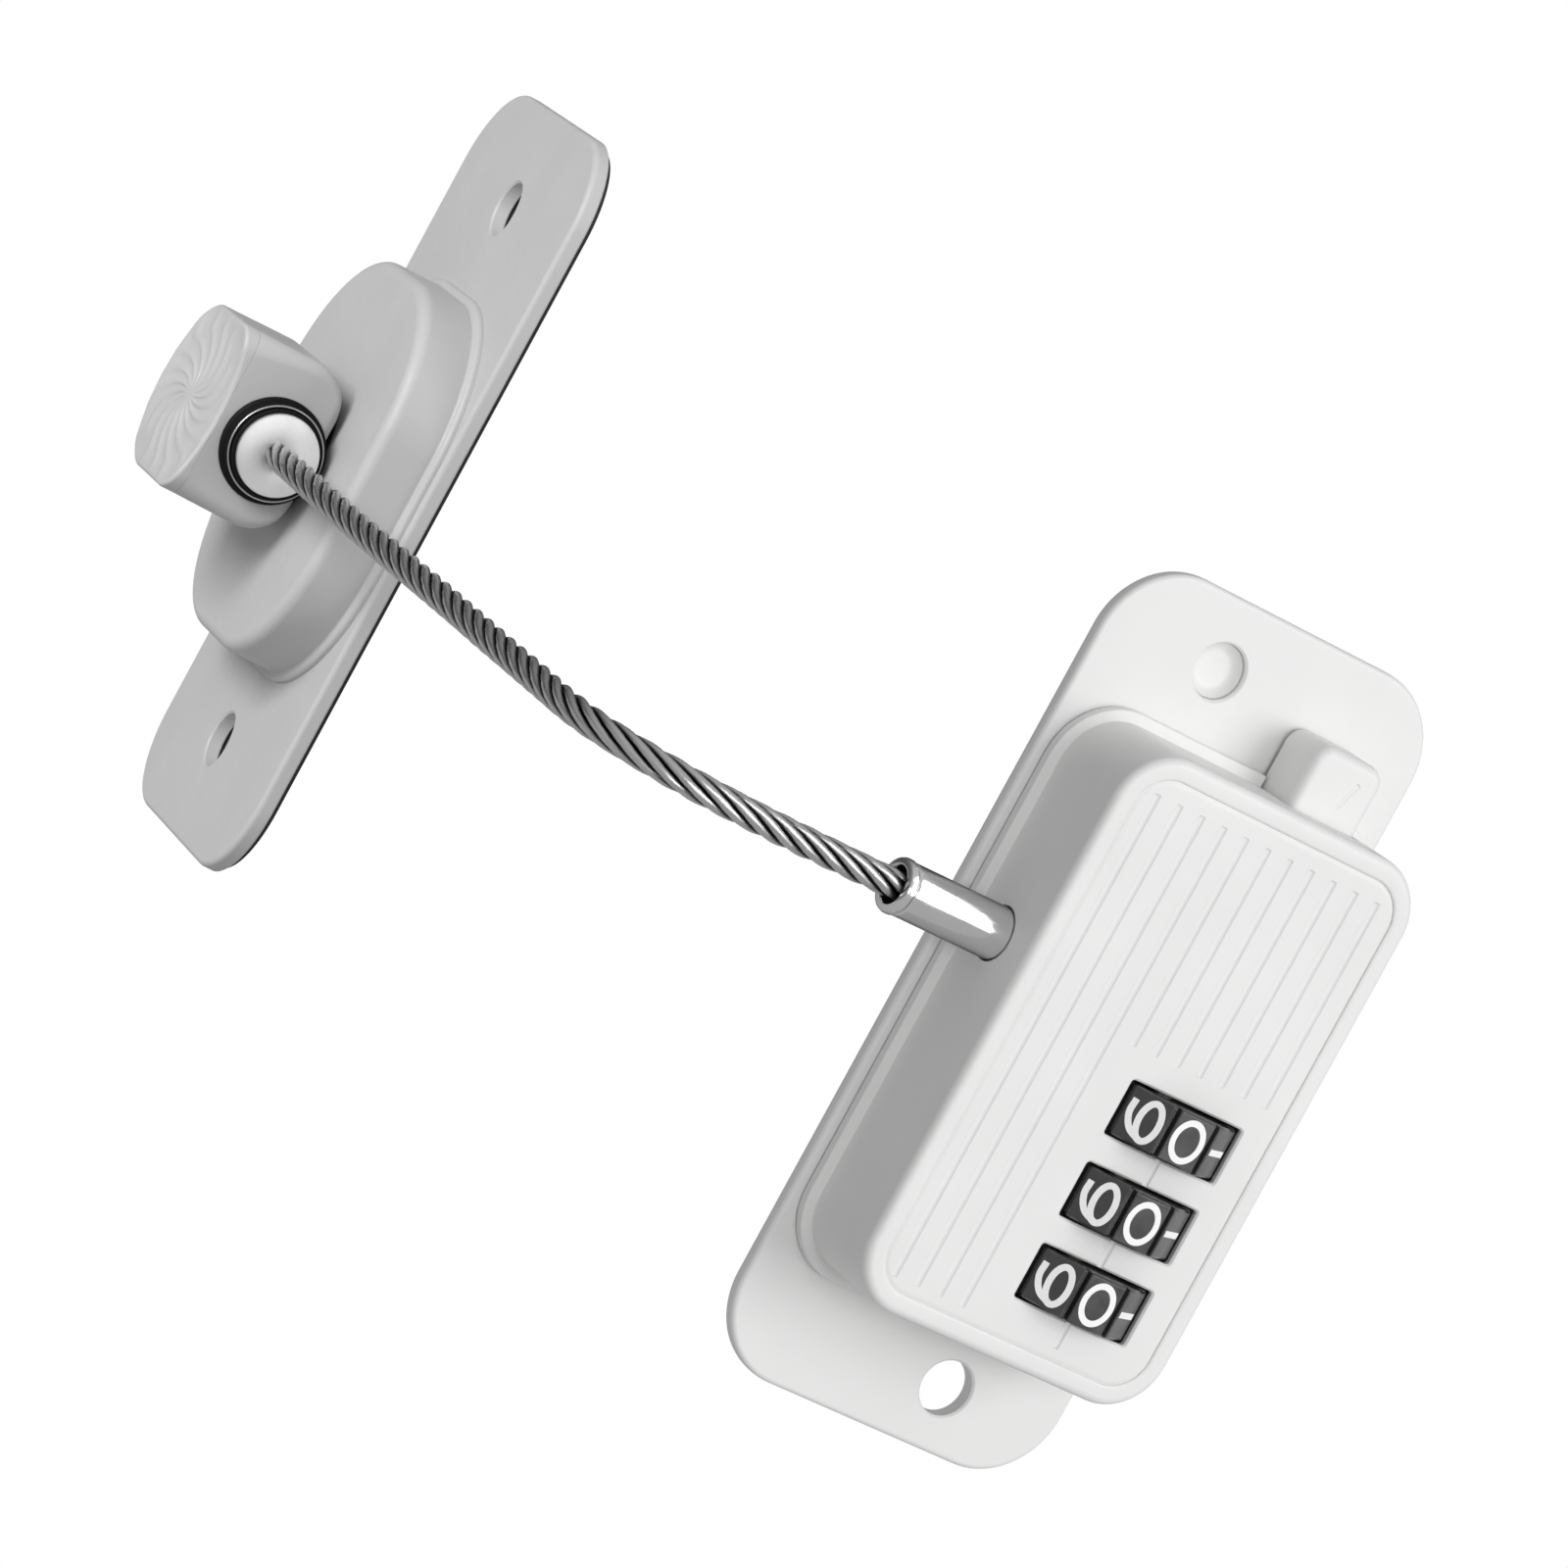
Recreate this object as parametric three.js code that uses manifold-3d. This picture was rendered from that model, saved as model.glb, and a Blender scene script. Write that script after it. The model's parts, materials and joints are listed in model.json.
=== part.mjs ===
// Window restrictor cable: a dial lock for the window frame, a steel cable whose plug locks into it, and
// a swivelling bracket for the opening sash on the cable's other end.
// Millimetres, +Z up. X runs to the right across the lock's front, +Y goes into the window frame, and the
// lock's back face is the plane Y = 0.
import * as THREE from 'three';
import { mergeVertices } from 'three/addons/utils/BufferGeometryUtils.js';
import Module from 'manifold-3d';

const wasm = await Module();
wasm.setup();

// Driving dimensions ---------------------------------------------------------------------------------

const GAP = 0.3; // running gap beside anything that moves
const REST = 0.15; // gap between pieces that are clamped together
const SCREW_HOLE_R = 2.9; // the lock's fixing holes, for the fitter's own screws

// Lock. On both plates x is across, y is up the plate and z is the height above the plate's back.
const PLATE = { w: 41, h: 88.6, t: 2, r: 8.6 };
const LOWER_HOLE = { x: 6.6, y: -37.7 };
const UPPER_HOLE = { x: -5.9, y: 37 };
const CASE = { x: 0.6, y: -1.2, w: 37.6, h: 60.2, r: 6.2, top: 14.9, wall: 2.2, round: 0.9 };
const FLANGE = { out: 1.2, top: 3.3 };
const FACE_T = 2; // thickness of the face plate, whose front is level with the case
const CAVITY = { w: CASE.w - 2 * CASE.wall, h: CASE.h - 2 * CASE.wall, r: CASE.r - CASE.wall };
const FACE_BACK = CASE.top - FACE_T;
const CASE_BACK = PLATE.t + REST;

// Dials, on one spindle that runs up the lock.
const DIAL = { x: 6.55, z: 9.5, r: 8.3, width: 5.4, bore: 4.6, facets: 10, groove: 0.75 };
const DIAL_PITCH = 9;
const DIAL_Y = [-3.9, -3.9 - DIAL_PITCH, -3.9 - 2 * DIAL_PITCH];
const WINDOW = { w: 14.2, h: 6 };
const SPINDLE_R = 1.5;
const RIB = { t: 1.6, upper: 0, lower: -25.7 };

// Plug and latch.
const PLUG = { y: 5.4, z: 8, r: 2.75, end: -31.1, shoulder: -1.2, neckR: 1.7, headR: 2.2, tip: 6 };
const CABLE_R = 1.5;
const CABLE_POCKET = 5.8; // how deep the cable goes into each fitting
const BUTTON = { x: 8.5, w: 8.6, top: 35.9, bottom: 2.5, front: 8.8 };
const BUTTON_TRAVEL = 2.5;
const SCREW_SPOTS = [
  [-12.9, 23.8],
  [14.3, 17.3],
  [-12.9, -26.2],
  [1.1, -26.8],
];

// Bracket on the sash.
const LEAF = { y: 0.6, w: 43.2, h: 85.5, r: 9.2, pad: 0.4, top: 2.3 };
const LEAF_HOLE = { x: -0.6, r: 3.05, spacing: 63.2 };
const LEAF_TURN = THREE.MathUtils.degToRad(-101);
const LEAF_AT = [-37.3, 105.2, 8.1];
const BOSS = { w: 40.4, h: 43.2, r: 15.3, top: 9.3, round: 1.3 };
const KNOB = { x: 0.8, w: 15.2, h: 19, bottom: 10.1, top: 21.6, capMiddle: 23.5, capSlope: 0.2 };
const SOCKET = { y: -0.8, z: 15, r: 5.4, seat: 6, boreR: 4.8, floor: 3.7 };
const STOP = { r: 4.45, back: 4, front: 11.2 };
const SHANK_R = 2.8;

// Points that the cable follows, from inside the bracket's fitting to inside the plug.
const CABLE_ROUTE = [
  [-53.2, 102, 7.3],
  [-54.2, 96.9, 7.3],
  [-55.7, 88, 7.2],
  [-57.5, 74, 7],
  [-59.2, 58, 6.8],
  [-60.6, 42, 6.6],
  [-62, 26, 6.3],
  [-63, 14, 6.1],
  [-63.5, 5.5, 5.9],
  [-62.5, 0.3, 5.8],
  [-59.5, -4, 5.7],
  [-55.2, -7, 5.6],
  [-50, -8, 5.5],
  [-44, -8, 5.4],
  [-37, -8, 5.4],
  [-31.1, -8, 5.4],
  [-25.7, -8, 5.4],
];

// Materials --------------------------------------------------------------------------------------------

const finish = (color, roughness, metalness = 0) =>
  new THREE.MeshStandardMaterial({ color, roughness, metalness });
const FINISH = {
  lockWhite: finish(0xe4e4e3, 0.45),
  bracketGrey: finish(0xbfbfbf, 0.5),
  dial: finish(0x2b2b2c, 0.4),
  steel: finish(0x9c9c9e, 0.35, 1),
  chrome: finish(0xdedee0, 0.15, 1),
  brass: finish(0xb9a05a, 0.4, 1),
  darkRing: finish(0x1f1f20, 0.5),
  pad: finish(0x242424, 0.9),
};

// Shape helpers ------------------------------------------------------------------------------------------

// A rectangle with round corners, drawn about (x, y).
function roundedRect(width, height, radius, x = 0, y = 0) {
  const shape = new THREE.Shape();
  const right = x + width / 2 - radius;
  const left = x - width / 2 + radius;
  const top = y + height / 2 - radius;
  const bottom = y - height / 2 + radius;
  shape.absarc(right, top, radius, 0, Math.PI / 2);
  shape.absarc(left, top, radius, Math.PI / 2, Math.PI);
  shape.absarc(left, bottom, radius, Math.PI, 1.5 * Math.PI);
  shape.absarc(right, bottom, radius, 1.5 * Math.PI, 2 * Math.PI);
  return shape;
}

// A circle drawn as arcs in a row; each arc gets the same number of straight steps.
function circle(radius, x = 0, y = 0, arcs = 2) {
  const shape = new THREE.Shape();
  for (let i = 0; i < arcs; i += 1) {
    shape.absarc(x, y, radius, (2 * Math.PI * i) / arcs, (2 * Math.PI * (i + 1)) / arcs);
  }
  return shape;
}

function polygon(points) {
  return new THREE.Shape(points.map(([x, y]) => new THREE.Vector2(x, y)));
}

// A flat plate between two heights; edge rounds its front and back rims inside the outline.
function slab(shape, bottom, top, { edge = 0, segments = 4, rings = 2 } = {}) {
  const geometry = new THREE.ExtrudeGeometry(shape, {
    depth: top - bottom - 2 * edge,
    bevelEnabled: edge > 0,
    bevelThickness: edge,
    bevelSize: edge,
    bevelOffset: -edge,
    bevelSegments: rings,
    curveSegments: segments,
  });
  return geometry.translate(0, 0, bottom + edge);
}

// A plate that is rounded on its front rim only: the slab's back rim is cut away.
function frontRounded(shape, bottom, top, edge, options = {}) {
  const tall = slab(shape, bottom - 2 * edge, top, { edge, ...options });
  const size = 200;
  return cut(tall, block([-size, size], [-size, size], [bottom - 4 * edge, bottom]));
}

function block([x0, x1], [y0, y1], [z0, z1]) {
  const geometry = new THREE.BoxGeometry(x1 - x0, y1 - y0, z1 - z0);
  return geometry.translate((x0 + x1) / 2, (y0 + y1) / 2, (z0 + z1) / 2);
}

// A turned piece: [radius, distance along] points, from the axis round to the axis, or a closed ring.
function turned(profile, segments = 20) {
  return new THREE.LatheGeometry(
    profile.map(([r, along]) => new THREE.Vector2(r, along)),
    segments,
  );
}

// Lathe geometry stands along +Y. These lay it along another axis.
const alongX = (geometry) => geometry.rotateZ(-Math.PI / 2);
const alongZ = (geometry) => geometry.rotateX(Math.PI / 2);

function rod(radius, from, to, segments = 16) {
  return turned([[0, from], [radius, from], [radius, to], [0, to]], segments);
}

function hollowRod(outer, inner, from, to, segments = 20) {
  return turned([[inner, from], [outer, from], [outer, to], [inner, to], [inner, from]], segments);
}

// Joining and cutting ------------------------------------------------------------------------------------

function toSolid(geometry) {
  const bare = geometry.clone();
  bare.deleteAttribute('normal');
  bare.deleteAttribute('uv');
  const merged = mergeVertices(bare, 1e-4);
  return new wasm.Manifold(
    new wasm.Mesh({
      numProp: 3,
      vertProperties: new Float32Array(merged.attributes.position.array),
      triVerts: new Uint32Array(merged.index.array),
    }),
  );
}

function toGeometry(solid) {
  const mesh = solid.getMesh();
  const geometry = new THREE.BufferGeometry();
  geometry.setAttribute('position', new THREE.BufferAttribute(mesh.vertProperties, 3));
  geometry.setIndex(new THREE.BufferAttribute(mesh.triVerts, 1));
  geometry.computeVertexNormals();
  return geometry;
}

function cut(geometry, ...tools) {
  return toGeometry(tools.reduce((solid, tool) => solid.subtract(toSolid(tool)), toSolid(geometry)));
}

function join(geometry, ...others) {
  return toGeometry(others.reduce((solid, other) => solid.add(toSolid(other)), toSolid(geometry)));
}

function named(name, geometry, material, at = [0, 0, 0]) {
  const mesh = new THREE.Mesh(geometry, material);
  mesh.name = name;
  mesh.position.set(...at);
  return mesh;
}

// Lock ----------------------------------------------------------------------------------------------------

function lockBasePlate() {
  const plate = frontRounded(roundedRect(PLATE.w, PLATE.h, PLATE.r), 0, PLATE.t, 0.4);
  const dialPocket = block([DIAL.x - 5, DIAL.x + 5], [-25, -1], [0.8, PLATE.t + 1]);
  const fixings = [LOWER_HOLE, UPPER_HOLE].map(({ x, y }) =>
    alongZ(rod(SCREW_HOLE_R, -1, PLATE.t + 1, 28)).translate(x, y, 0),
  );
  const countersinks = SCREW_SPOTS.map(([x, y]) =>
    alongZ(
      turned([[0, -1], [2.9, -1], [2.9, 0], [1.3, 1.6], [1.3, 3], [0, 3]], 16),
    ).translate(x, y, 0),
  );
  return cut(plate, dialPocket, ...fixings, ...countersinks);
}

function lockHousing() {
  const outline = roundedRect(CASE.w, CASE.h, CASE.r, CASE.x, CASE.y);
  const skirt = roundedRect(
    CASE.w + 2 * FLANGE.out,
    CASE.h + 2 * FLANGE.out,
    CASE.r + FLANGE.out,
    CASE.x,
    CASE.y,
  );
  const shell = frontRounded(outline, CASE_BACK, CASE.top, CASE.round, { rings: 4 });
  const flange = frontRounded(skirt, CASE_BACK, FLANGE.top, 0.5);
  const cavity = slab(
    roundedRect(CAVITY.w, CAVITY.h, CAVITY.r, CASE.x, CASE.y),
    CASE_BACK - 1,
    CASE.top + 1,
  );
  const rib = (y) => {
    const rightWall = CASE.x + CAVITY.w / 2 + 1;
    return block([4, rightWall], [y - RIB.t / 2, y + RIB.t / 2], [CASE_BACK, FACE_BACK - REST]);
  };
  const spindleBore = rod(SPINDLE_R + REST, -27.5, 5, 16).translate(DIAL.x, 0, DIAL.z);
  const plugBore = alongX(rod(PLUG.r + 0.35, -25, -10, 28)).translate(0, PLUG.y, PLUG.z);
  const buttonSlot = block(
    [BUTTON.x - BUTTON.w / 2 - GAP, BUTTON.x + BUTTON.w / 2 + GAP],
    [25, 40],
    [0, BUTTON.front + GAP],
  );
  const hollow = cut(join(shell, flange), cavity);
  return cut(join(hollow, rib(RIB.upper), rib(RIB.lower)), spindleBore, plugBore, buttonSlot);
}

// The inset face: fine grooves up the plate, a window for each dial, an index line under each window,
// and four posts behind it for the housing screws.
function lockFacePlate() {
  const width = CAVITY.w - 2 * REST;
  const height = CAVITY.h - 2 * REST;
  const panel = slab(
    roundedRect(width, height, CAVITY.r - REST, CASE.x, CASE.y),
    FACE_BACK,
    CASE.top,
  );
  const post = ([x, y]) => alongZ(rod(2.2, CASE_BACK, FACE_BACK + 0.5, 12)).translate(x, y, 0);
  const pilot = ([x, y]) => alongZ(rod(1.1, 0, 8, 10)).translate(x, y, 0);
  const pitch = 2.85;
  const grooves = Array.from({ length: 11 }, (_, i) => {
    const x = -14 + i * pitch;
    const lowEnd = i < 4 ? -27.8 : 2;
    return block([x - 0.35, x + 0.35], [lowEnd, 24.7], [CASE.top - 0.3, CASE.top + 1]);
  });
  const windows = DIAL_Y.flatMap((y) => [
    block(
      [DIAL.x - WINDOW.w / 2, DIAL.x + WINDOW.w / 2],
      [y - WINDOW.h / 2, y + WINDOW.h / 2],
      [FACE_BACK - 1, CASE.top + 1],
    ),
    rod(DIAL.r + GAP, y - WINDOW.h / 2, y + WINDOW.h / 2, 40).translate(DIAL.x, 0, DIAL.z),
    block(
      [DIAL.x - 0.35, DIAL.x + 0.35],
      [y - WINDOW.h / 2 - 2.3, y - WINDOW.h / 2 - 0.4],
      [CASE.top - 0.25, CASE.top + 1],
    ),
  ]);
  const solid = join(panel, ...SCREW_SPOTS.map(post));
  return cut(solid, ...SCREW_SPOTS.map(pilot), ...grooves, ...windows);
}

function housingScrew() {
  const profile = [[0, 0.2], [2.6, 0.2], [1, 1.7], [0.9, 1.7], [0.9, 7], [0, 7.5]];
  const slot = block([-2, 2], [-0.3, 0.3], [-0.5, 0.8]);
  return cut(alongZ(turned(profile, 14)), slot);
}

// A dished plug that closes the upper fixing hole once its screw is in.
function screwHoleCap() {
  const r = SCREW_HOLE_R - REST;
  return alongZ(turned([[0, 0.4], [r, 0.4], [r, 1.5], [r - 0.6, 1.1], [0, 0.9]], 28));
}

function plugSocket() {
  const height = FACE_BACK - CASE_BACK - 2 * REST;
  const middle = (FACE_BACK + CASE_BACK) / 2;
  const shape = roundedRect(8.4, height, 1);
  shape.holes.push(circle(PLUG.r + 0.2, 0, PLUG.z - middle));
  const along = slab(shape, 0, 13.4);
  // The outline's own y becomes the height above the plate.
  return along.rotateY(Math.PI / 2).rotateX(Math.PI / 2).translate(-15.6, PLUG.y, middle);
}

function dialSpindle() {
  return turned([
    [0, -28.6],
    [2.4, -28.6],
    [2.4, RIB.lower - RIB.t / 2 - REST],
    [SPINDLE_R, RIB.lower - RIB.t / 2 - REST],
    [SPINDLE_R, 1.4],
    [0, 1.4],
  ]);
}

// A comb of spring steel whose three fingers press on the dials' flats.
function detentSpring() {
  const x = DIAL.x - DIAL.r - 0.9;
  const strip = block([x, x + 0.4], [-24.5, -1.3], [CASE_BACK, 5]);
  const fingers = DIAL_Y.map((y) => block([x, x + 0.4], [y - 1.4, y + 1.4], [4.5, 11.5]));
  return join(strip, ...fingers);
}

// Release button and latch -------------------------------------------------------------------------------

function releaseButton() {
  const { x, w, top, bottom, front } = BUTTON;
  const outside = slab(roundedRect(w, 9.3, 1.6, x, top - 4.65), bottom - 2, front, {
    edge: 0.8,
    segments: 3,
    rings: 2,
  });
  const trimmed = cut(outside, block([-20, 40], [0, 60], [-20, bottom]));
  const wallInside = CASE.y + CAVITY.h / 2;
  const stem = block([x - w / 2, x + w / 2], [wallInside - 1.5, top - 6], [bottom, front]);
  const lip = block(
    [x - w / 2 - 1.1, x + w / 2 + 1.1],
    [wallInside - GAP - 2.2, wallInside - GAP],
    [bottom, front + 1.1],
  );
  const tick = block([x + 0.6, x + 0.9], [31, 34], [front - 0.2, front + 1]);
  return cut(join(trimmed, stem, lip), tick);
}

// The plate stands across the plug with a long hole for its head; the arm and tail tie it to the button.
function latchBar() {
  const clear = PLUG.headR + GAP;
  const plate = block([-0.6, 1], [PLUG.y - clear - 1.2, 14], [3.6, 12.4]);
  const holeShape = new THREE.Shape();
  holeShape.absarc(0, PLUG.y, clear, Math.PI, 2 * Math.PI);
  holeShape.absarc(0, PLUG.y + BUTTON_TRAVEL, clear, 0, Math.PI);
  const hole = slab(holeShape, -3, 3).rotateY(Math.PI / 2).translate(0, 0, PLUG.z);
  const arm = block([-0.6, 11.2], [11.6, 14], [6, 10]);
  const tail = block([7, 10], [13, 23.8], [6.5, 9.5]);
  return join(cut(plate, hole), arm, tail);
}

class Helix extends THREE.Curve {
  constructor(radius, bottom, height, turns) {
    super();
    Object.assign(this, { radius, bottom, height, turns });
  }

  getPoint(t, target = new THREE.Vector3()) {
    const angle = 2 * Math.PI * this.turns * t;
    const along = this.bottom + this.height * t;
    return target.set(this.radius * Math.cos(angle), along, this.radius * Math.sin(angle));
  }
}

function coilSpring(radius, wire, bottom, top, turns) {
  const path = new Helix(radius, bottom + wire, top - bottom - 2 * wire, turns);
  return new THREE.ExtrudeGeometry(circle(wire, 0, 0, 1), {
    steps: turns * 8,
    curveSegments: 3,
    bevelEnabled: false,
    extrudePath: path,
  });
}

// Dials ---------------------------------------------------------------------------------------------------

// Ten flats with a groove between each two; one flat faces straight out of the window.
function dialWheel() {
  const half = THREE.MathUtils.degToRad(15.4);
  const points = [];
  for (let i = 0; i < DIAL.facets; i += 1) {
    const middle = Math.PI / 2 + (i * 2 * Math.PI) / DIAL.facets;
    const grooveAt = middle + Math.PI / DIAL.facets;
    points.push([DIAL.r * Math.cos(middle - half), DIAL.r * Math.sin(middle - half)]);
    points.push([DIAL.r * Math.cos(middle + half), DIAL.r * Math.sin(middle + half)]);
    const floor = DIAL.r - DIAL.groove;
    points.push([floor * Math.cos(grooveAt), floor * Math.sin(grooveAt)]);
  }
  const shape = polygon(points);
  shape.holes.push(circle(DIAL.bore));
  const wheel = slab(shape, -DIAL.width / 2, DIAL.width / 2, { edge: 0.2, rings: 1 });
  return wheel.rotateX(-Math.PI / 2).rotateY(Math.PI).rotateZ(Math.PI);
}

// The inner ring that holds the code: a notch in it lets the latch past.
function codeSleeve() {
  const half = DIAL.width / 2 - 0.1;
  const ring = hollowRod(DIAL.bore - GAP, SPINDLE_R + GAP, -half, half);
  const notch = block([-0.9, 0.9], [-3, -0.8], [2.6, 6]);
  return cut(ring, notch);
}

// Cable ---------------------------------------------------------------------------------------------------

function cablePlug() {
  const { r, end, shoulder, neckR, headR, tip } = PLUG;
  const bore = CABLE_R + GAP;
  const profile = [
    [0, end + CABLE_POCKET],
    [bore, end + CABLE_POCKET],
    [bore, end],
    [r - 0.3, end],
    [r, end + 0.4],
    [r, shoulder - 0.5],
    [r - 0.5, shoulder],
    [neckR, shoulder],
    [neckR, shoulder + 3.4],
    [headR, shoulder + 4],
    [headR, tip - 1.2],
    [1.2, tip],
    [0, tip],
  ];
  return alongX(turned(profile, 28)).translate(0, PLUG.y, PLUG.z);
}

function steelCable() {
  const route = new THREE.CatmullRomCurve3(
    CABLE_ROUTE.map((point) => new THREE.Vector3(...point)),
    false,
    'centripetal',
  );
  return new THREE.ExtrudeGeometry(circle(CABLE_R, 0, 0, 1), {
    steps: 44,
    curveSegments: 4,
    bevelEnabled: false,
    extrudePath: route,
  });
}

// The steel end that is swaged on the cable and turns inside the knob.
function cableEndStop() {
  const bore = CABLE_R + GAP;
  const profile = [
    [0, STOP.back],
    [STOP.r, STOP.back],
    [STOP.r, STOP.back + 1.8],
    [STOP.r - 0.7, STOP.back + 2.2],
    [STOP.r - 0.7, STOP.front - 3.4],
    [STOP.r, STOP.front - 3],
    [STOP.r, STOP.front - 0.3],
    [STOP.r - 0.3, STOP.front],
    [bore, STOP.front],
    [bore, STOP.front - CABLE_POCKET],
    [0, STOP.front - CABLE_POCKET],
  ];
  return alongX(turned(profile, 32)).translate(0, SOCKET.y, SOCKET.z);
}

// Knob ----------------------------------------------------------------------------------------------------

// The knob's side view: wide at its outer end, with large rounds towards the boss.
function swivelKnob() {
  const half = KNOB.h / 2;
  const low = 4.6;
  const side = new THREE.Shape();
  side.absarc(-half + low, KNOB.bottom + low, low, Math.PI, 1.5 * Math.PI);
  side.absarc(half - low, KNOB.bottom + low, low, 1.5 * Math.PI, 2 * Math.PI);
  side.lineTo(half, KNOB.top);
  side.lineTo(-half, KNOB.top);
  const body = slab(side, -KNOB.w / 2, KNOB.w / 2, { edge: 1 });
  // Side view drawn in (y, z): stand it up and run it across the plate.
  body.rotateX(Math.PI / 2).rotateZ(Math.PI / 2).translate(KNOB.x, 0, 0);
  const across = (radius, from, to) => alongX(rod(radius, from, to, 32)).translate(0, SOCKET.y, SOCKET.z);
  const screwBore = alongZ(rod(SHANK_R + 0.2, 0, 30, 20));
  const headBore = alongZ(rod(5.3, 19.65, 30, 20));
  const recess = across(SOCKET.r, SOCKET.seat, 20);
  const bore = across(SOCKET.boreR, SOCKET.floor, 20);
  return cut(body, screwBore, headBore, recess, bore);
}

// The knob's outer end leans towards its socket side.
function knobEndCap() {
  const shape = roundedRect(KNOB.w, KNOB.h, 2.6, KNOB.x);
  const blank = slab(shape, KNOB.top + REST, KNOB.capMiddle + 3, { edge: 0.5 });
  const above = block([-30, 30], [-30, 30], [0, 20]);
  above.rotateY(Math.atan(KNOB.capSlope)).translate(KNOB.x, 0, KNOB.capMiddle);
  return cut(blank, above);
}

function socketRing() {
  const front = KNOB.x + KNOB.w / 2 + 1.5;
  const ring = hollowRod(SOCKET.r - 0.2, SOCKET.boreR, SOCKET.seat + REST, front, 32);
  return alongX(ring).translate(0, SOCKET.y, SOCKET.z);
}

// Bracket --------------------------------------------------------------------------------------------------

const leafHoles = (from, to) =>
  [-0.5, 0.5].map((side) => {
    const y = LEAF.y + side * LEAF_HOLE.spacing;
    return alongZ(rod(LEAF_HOLE.r, from, to, 36)).translate(LEAF_HOLE.x, y, 0);
  });

function bracketBody() {
  const bottom = LEAF.pad + REST;
  const plate = frontRounded(
    roundedRect(LEAF.w, LEAF.h, LEAF.r, 0, LEAF.y),
    bottom,
    LEAF.top,
    0.6,
  );
  const boss = frontRounded(roundedRect(BOSS.w, BOSS.h, BOSS.r), bottom, BOSS.top, BOSS.round, {
    rings: 4,
  });
  const foot = frontRounded(
    roundedRect(BOSS.w + 1.6, BOSS.h + 1.6, BOSS.r + 0.8),
    bottom,
    LEAF.top + 0.8,
    0.7,
  );
  const nutPocket = alongZ(rod(9, -1, 6.2, 24));
  const shankHole = alongZ(rod(SHANK_R + 0.2, 0, 12, 20));
  return cut(join(plate, foot, boss), nutPocket, shankHole, ...leafHoles(-1, 5));
}

function bracketPad() {
  const outline = roundedRect(LEAF.w - 0.4, LEAF.h - 0.4, LEAF.r - 0.2, 0, LEAF.y);
  const pad = slab(outline, 0, LEAF.pad);
  return cut(pad, alongZ(rod(9.4, -1, 2, 24)), ...leafHoles(-1, 2));
}

function swivelScrew() {
  const profile = [
    [0, 1.2],
    [SHANK_R - 0.3, 1.2],
    [SHANK_R, 1.6],
    [SHANK_R, 19.8],
    [5, 19.8],
    [5, 21.1],
    [4.7, 21.4],
    [0, 21.4],
  ];
  const socket = slab(circle(1.9, 0, 0, 1), 20.4, 23, { segments: 3 });
  return cut(alongZ(turned(profile, 20)), socket);
}

// A thin slip disc, which shows as a dark line under the knob and stays clear of the socket ring.
function thrustWasher() {
  const bore = SHANK_R + 0.2;
  return alongZ(hollowRod(7.3, bore, BOSS.top + REST, SOCKET.z - SOCKET.r + 0.2 - REST, 32));
}

function swivelNut() {
  const corner = (_, i) => [5.8 * Math.cos((i * Math.PI) / 3), 5.8 * Math.sin((i * Math.PI) / 3)];
  const hex = polygon(Array.from({ length: 6 }, corner));
  hex.holes.push(circle(SHANK_R + 0.2));
  return slab(hex, 2.7, 5.7);
}

// Assembly ------------------------------------------------------------------------------------------------

// A plate's own axes: x across, y up, z out of its front. Standing it up turns z to the row's -Y.
function standing(turn = 0, at = [0, 0, 0]) {
  const outer = new THREE.Group();
  outer.position.set(...at);
  outer.rotation.z = turn;
  const inner = new THREE.Group();
  inner.rotation.x = Math.PI / 2;
  outer.add(inner);
  return { outer, inner };
}

const group = new THREE.Group();
const lock = standing();
lock.inner.add(
  named('lock_base_plate', lockBasePlate(), FINISH.lockWhite),
  named('lock_housing', lockHousing(), FINISH.lockWhite),
  named('lock_face_plate', lockFacePlate(), FINISH.lockWhite),
  named('screw_hole_cap', screwHoleCap(), FINISH.lockWhite, [UPPER_HOLE.x, UPPER_HOLE.y, 0]),
  named('plug_socket', plugSocket(), FINISH.steel),
  named('dial_spindle', dialSpindle(), FINISH.steel, [DIAL.x, 0, DIAL.z]),
  named('detent_spring', detentSpring(), FINISH.steel),
  named('release_button', releaseButton(), FINISH.lockWhite),
  named('latch_bar', latchBar(), FINISH.steel),
  named('button_spring', coilSpring(1.9, 0.28, 1.1, 11.3, 6), FINISH.steel, [9.4, 0, PLUG.z]),
  named('cable_plug', cablePlug(), FINISH.chrome),
);
SCREW_SPOTS.forEach(([x, y], i) => {
  lock.inner.add(named(`housing_screw_${i + 1}`, housingScrew(), FINISH.steel, [x, y, 0]));
});
DIAL_Y.forEach((y, i) => {
  lock.inner.add(
    named(`dial_wheel_${i + 1}`, dialWheel(), FINISH.dial, [DIAL.x, y, DIAL.z]),
    named(`code_sleeve_${i + 1}`, codeSleeve(), FINISH.brass, [DIAL.x, y, DIAL.z]),
  );
});

const bracket = standing(LEAF_TURN, LEAF_AT);
bracket.inner.add(
  named('bracket_body', bracketBody(), FINISH.bracketGrey),
  named('bracket_pad', bracketPad(), FINISH.pad),
  named('swivel_screw', swivelScrew(), FINISH.steel),
  named('swivel_nut', swivelNut(), FINISH.steel),
  named('thrust_washer', thrustWasher(), FINISH.darkRing),
  named('swivel_knob', swivelKnob(), FINISH.bracketGrey),
  named('knob_end_cap', knobEndCap(), FINISH.bracketGrey),
  named('socket_ring', socketRing(), FINISH.darkRing),
  named('cable_end_stop', cableEndStop(), FINISH.steel),
);

group.add(lock.outer, bracket.outer, named('steel_cable', steelCable(), FINISH.steel));

export default group;
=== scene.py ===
import json
import math

import bpy
from mathutils import Matrix, Vector

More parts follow.
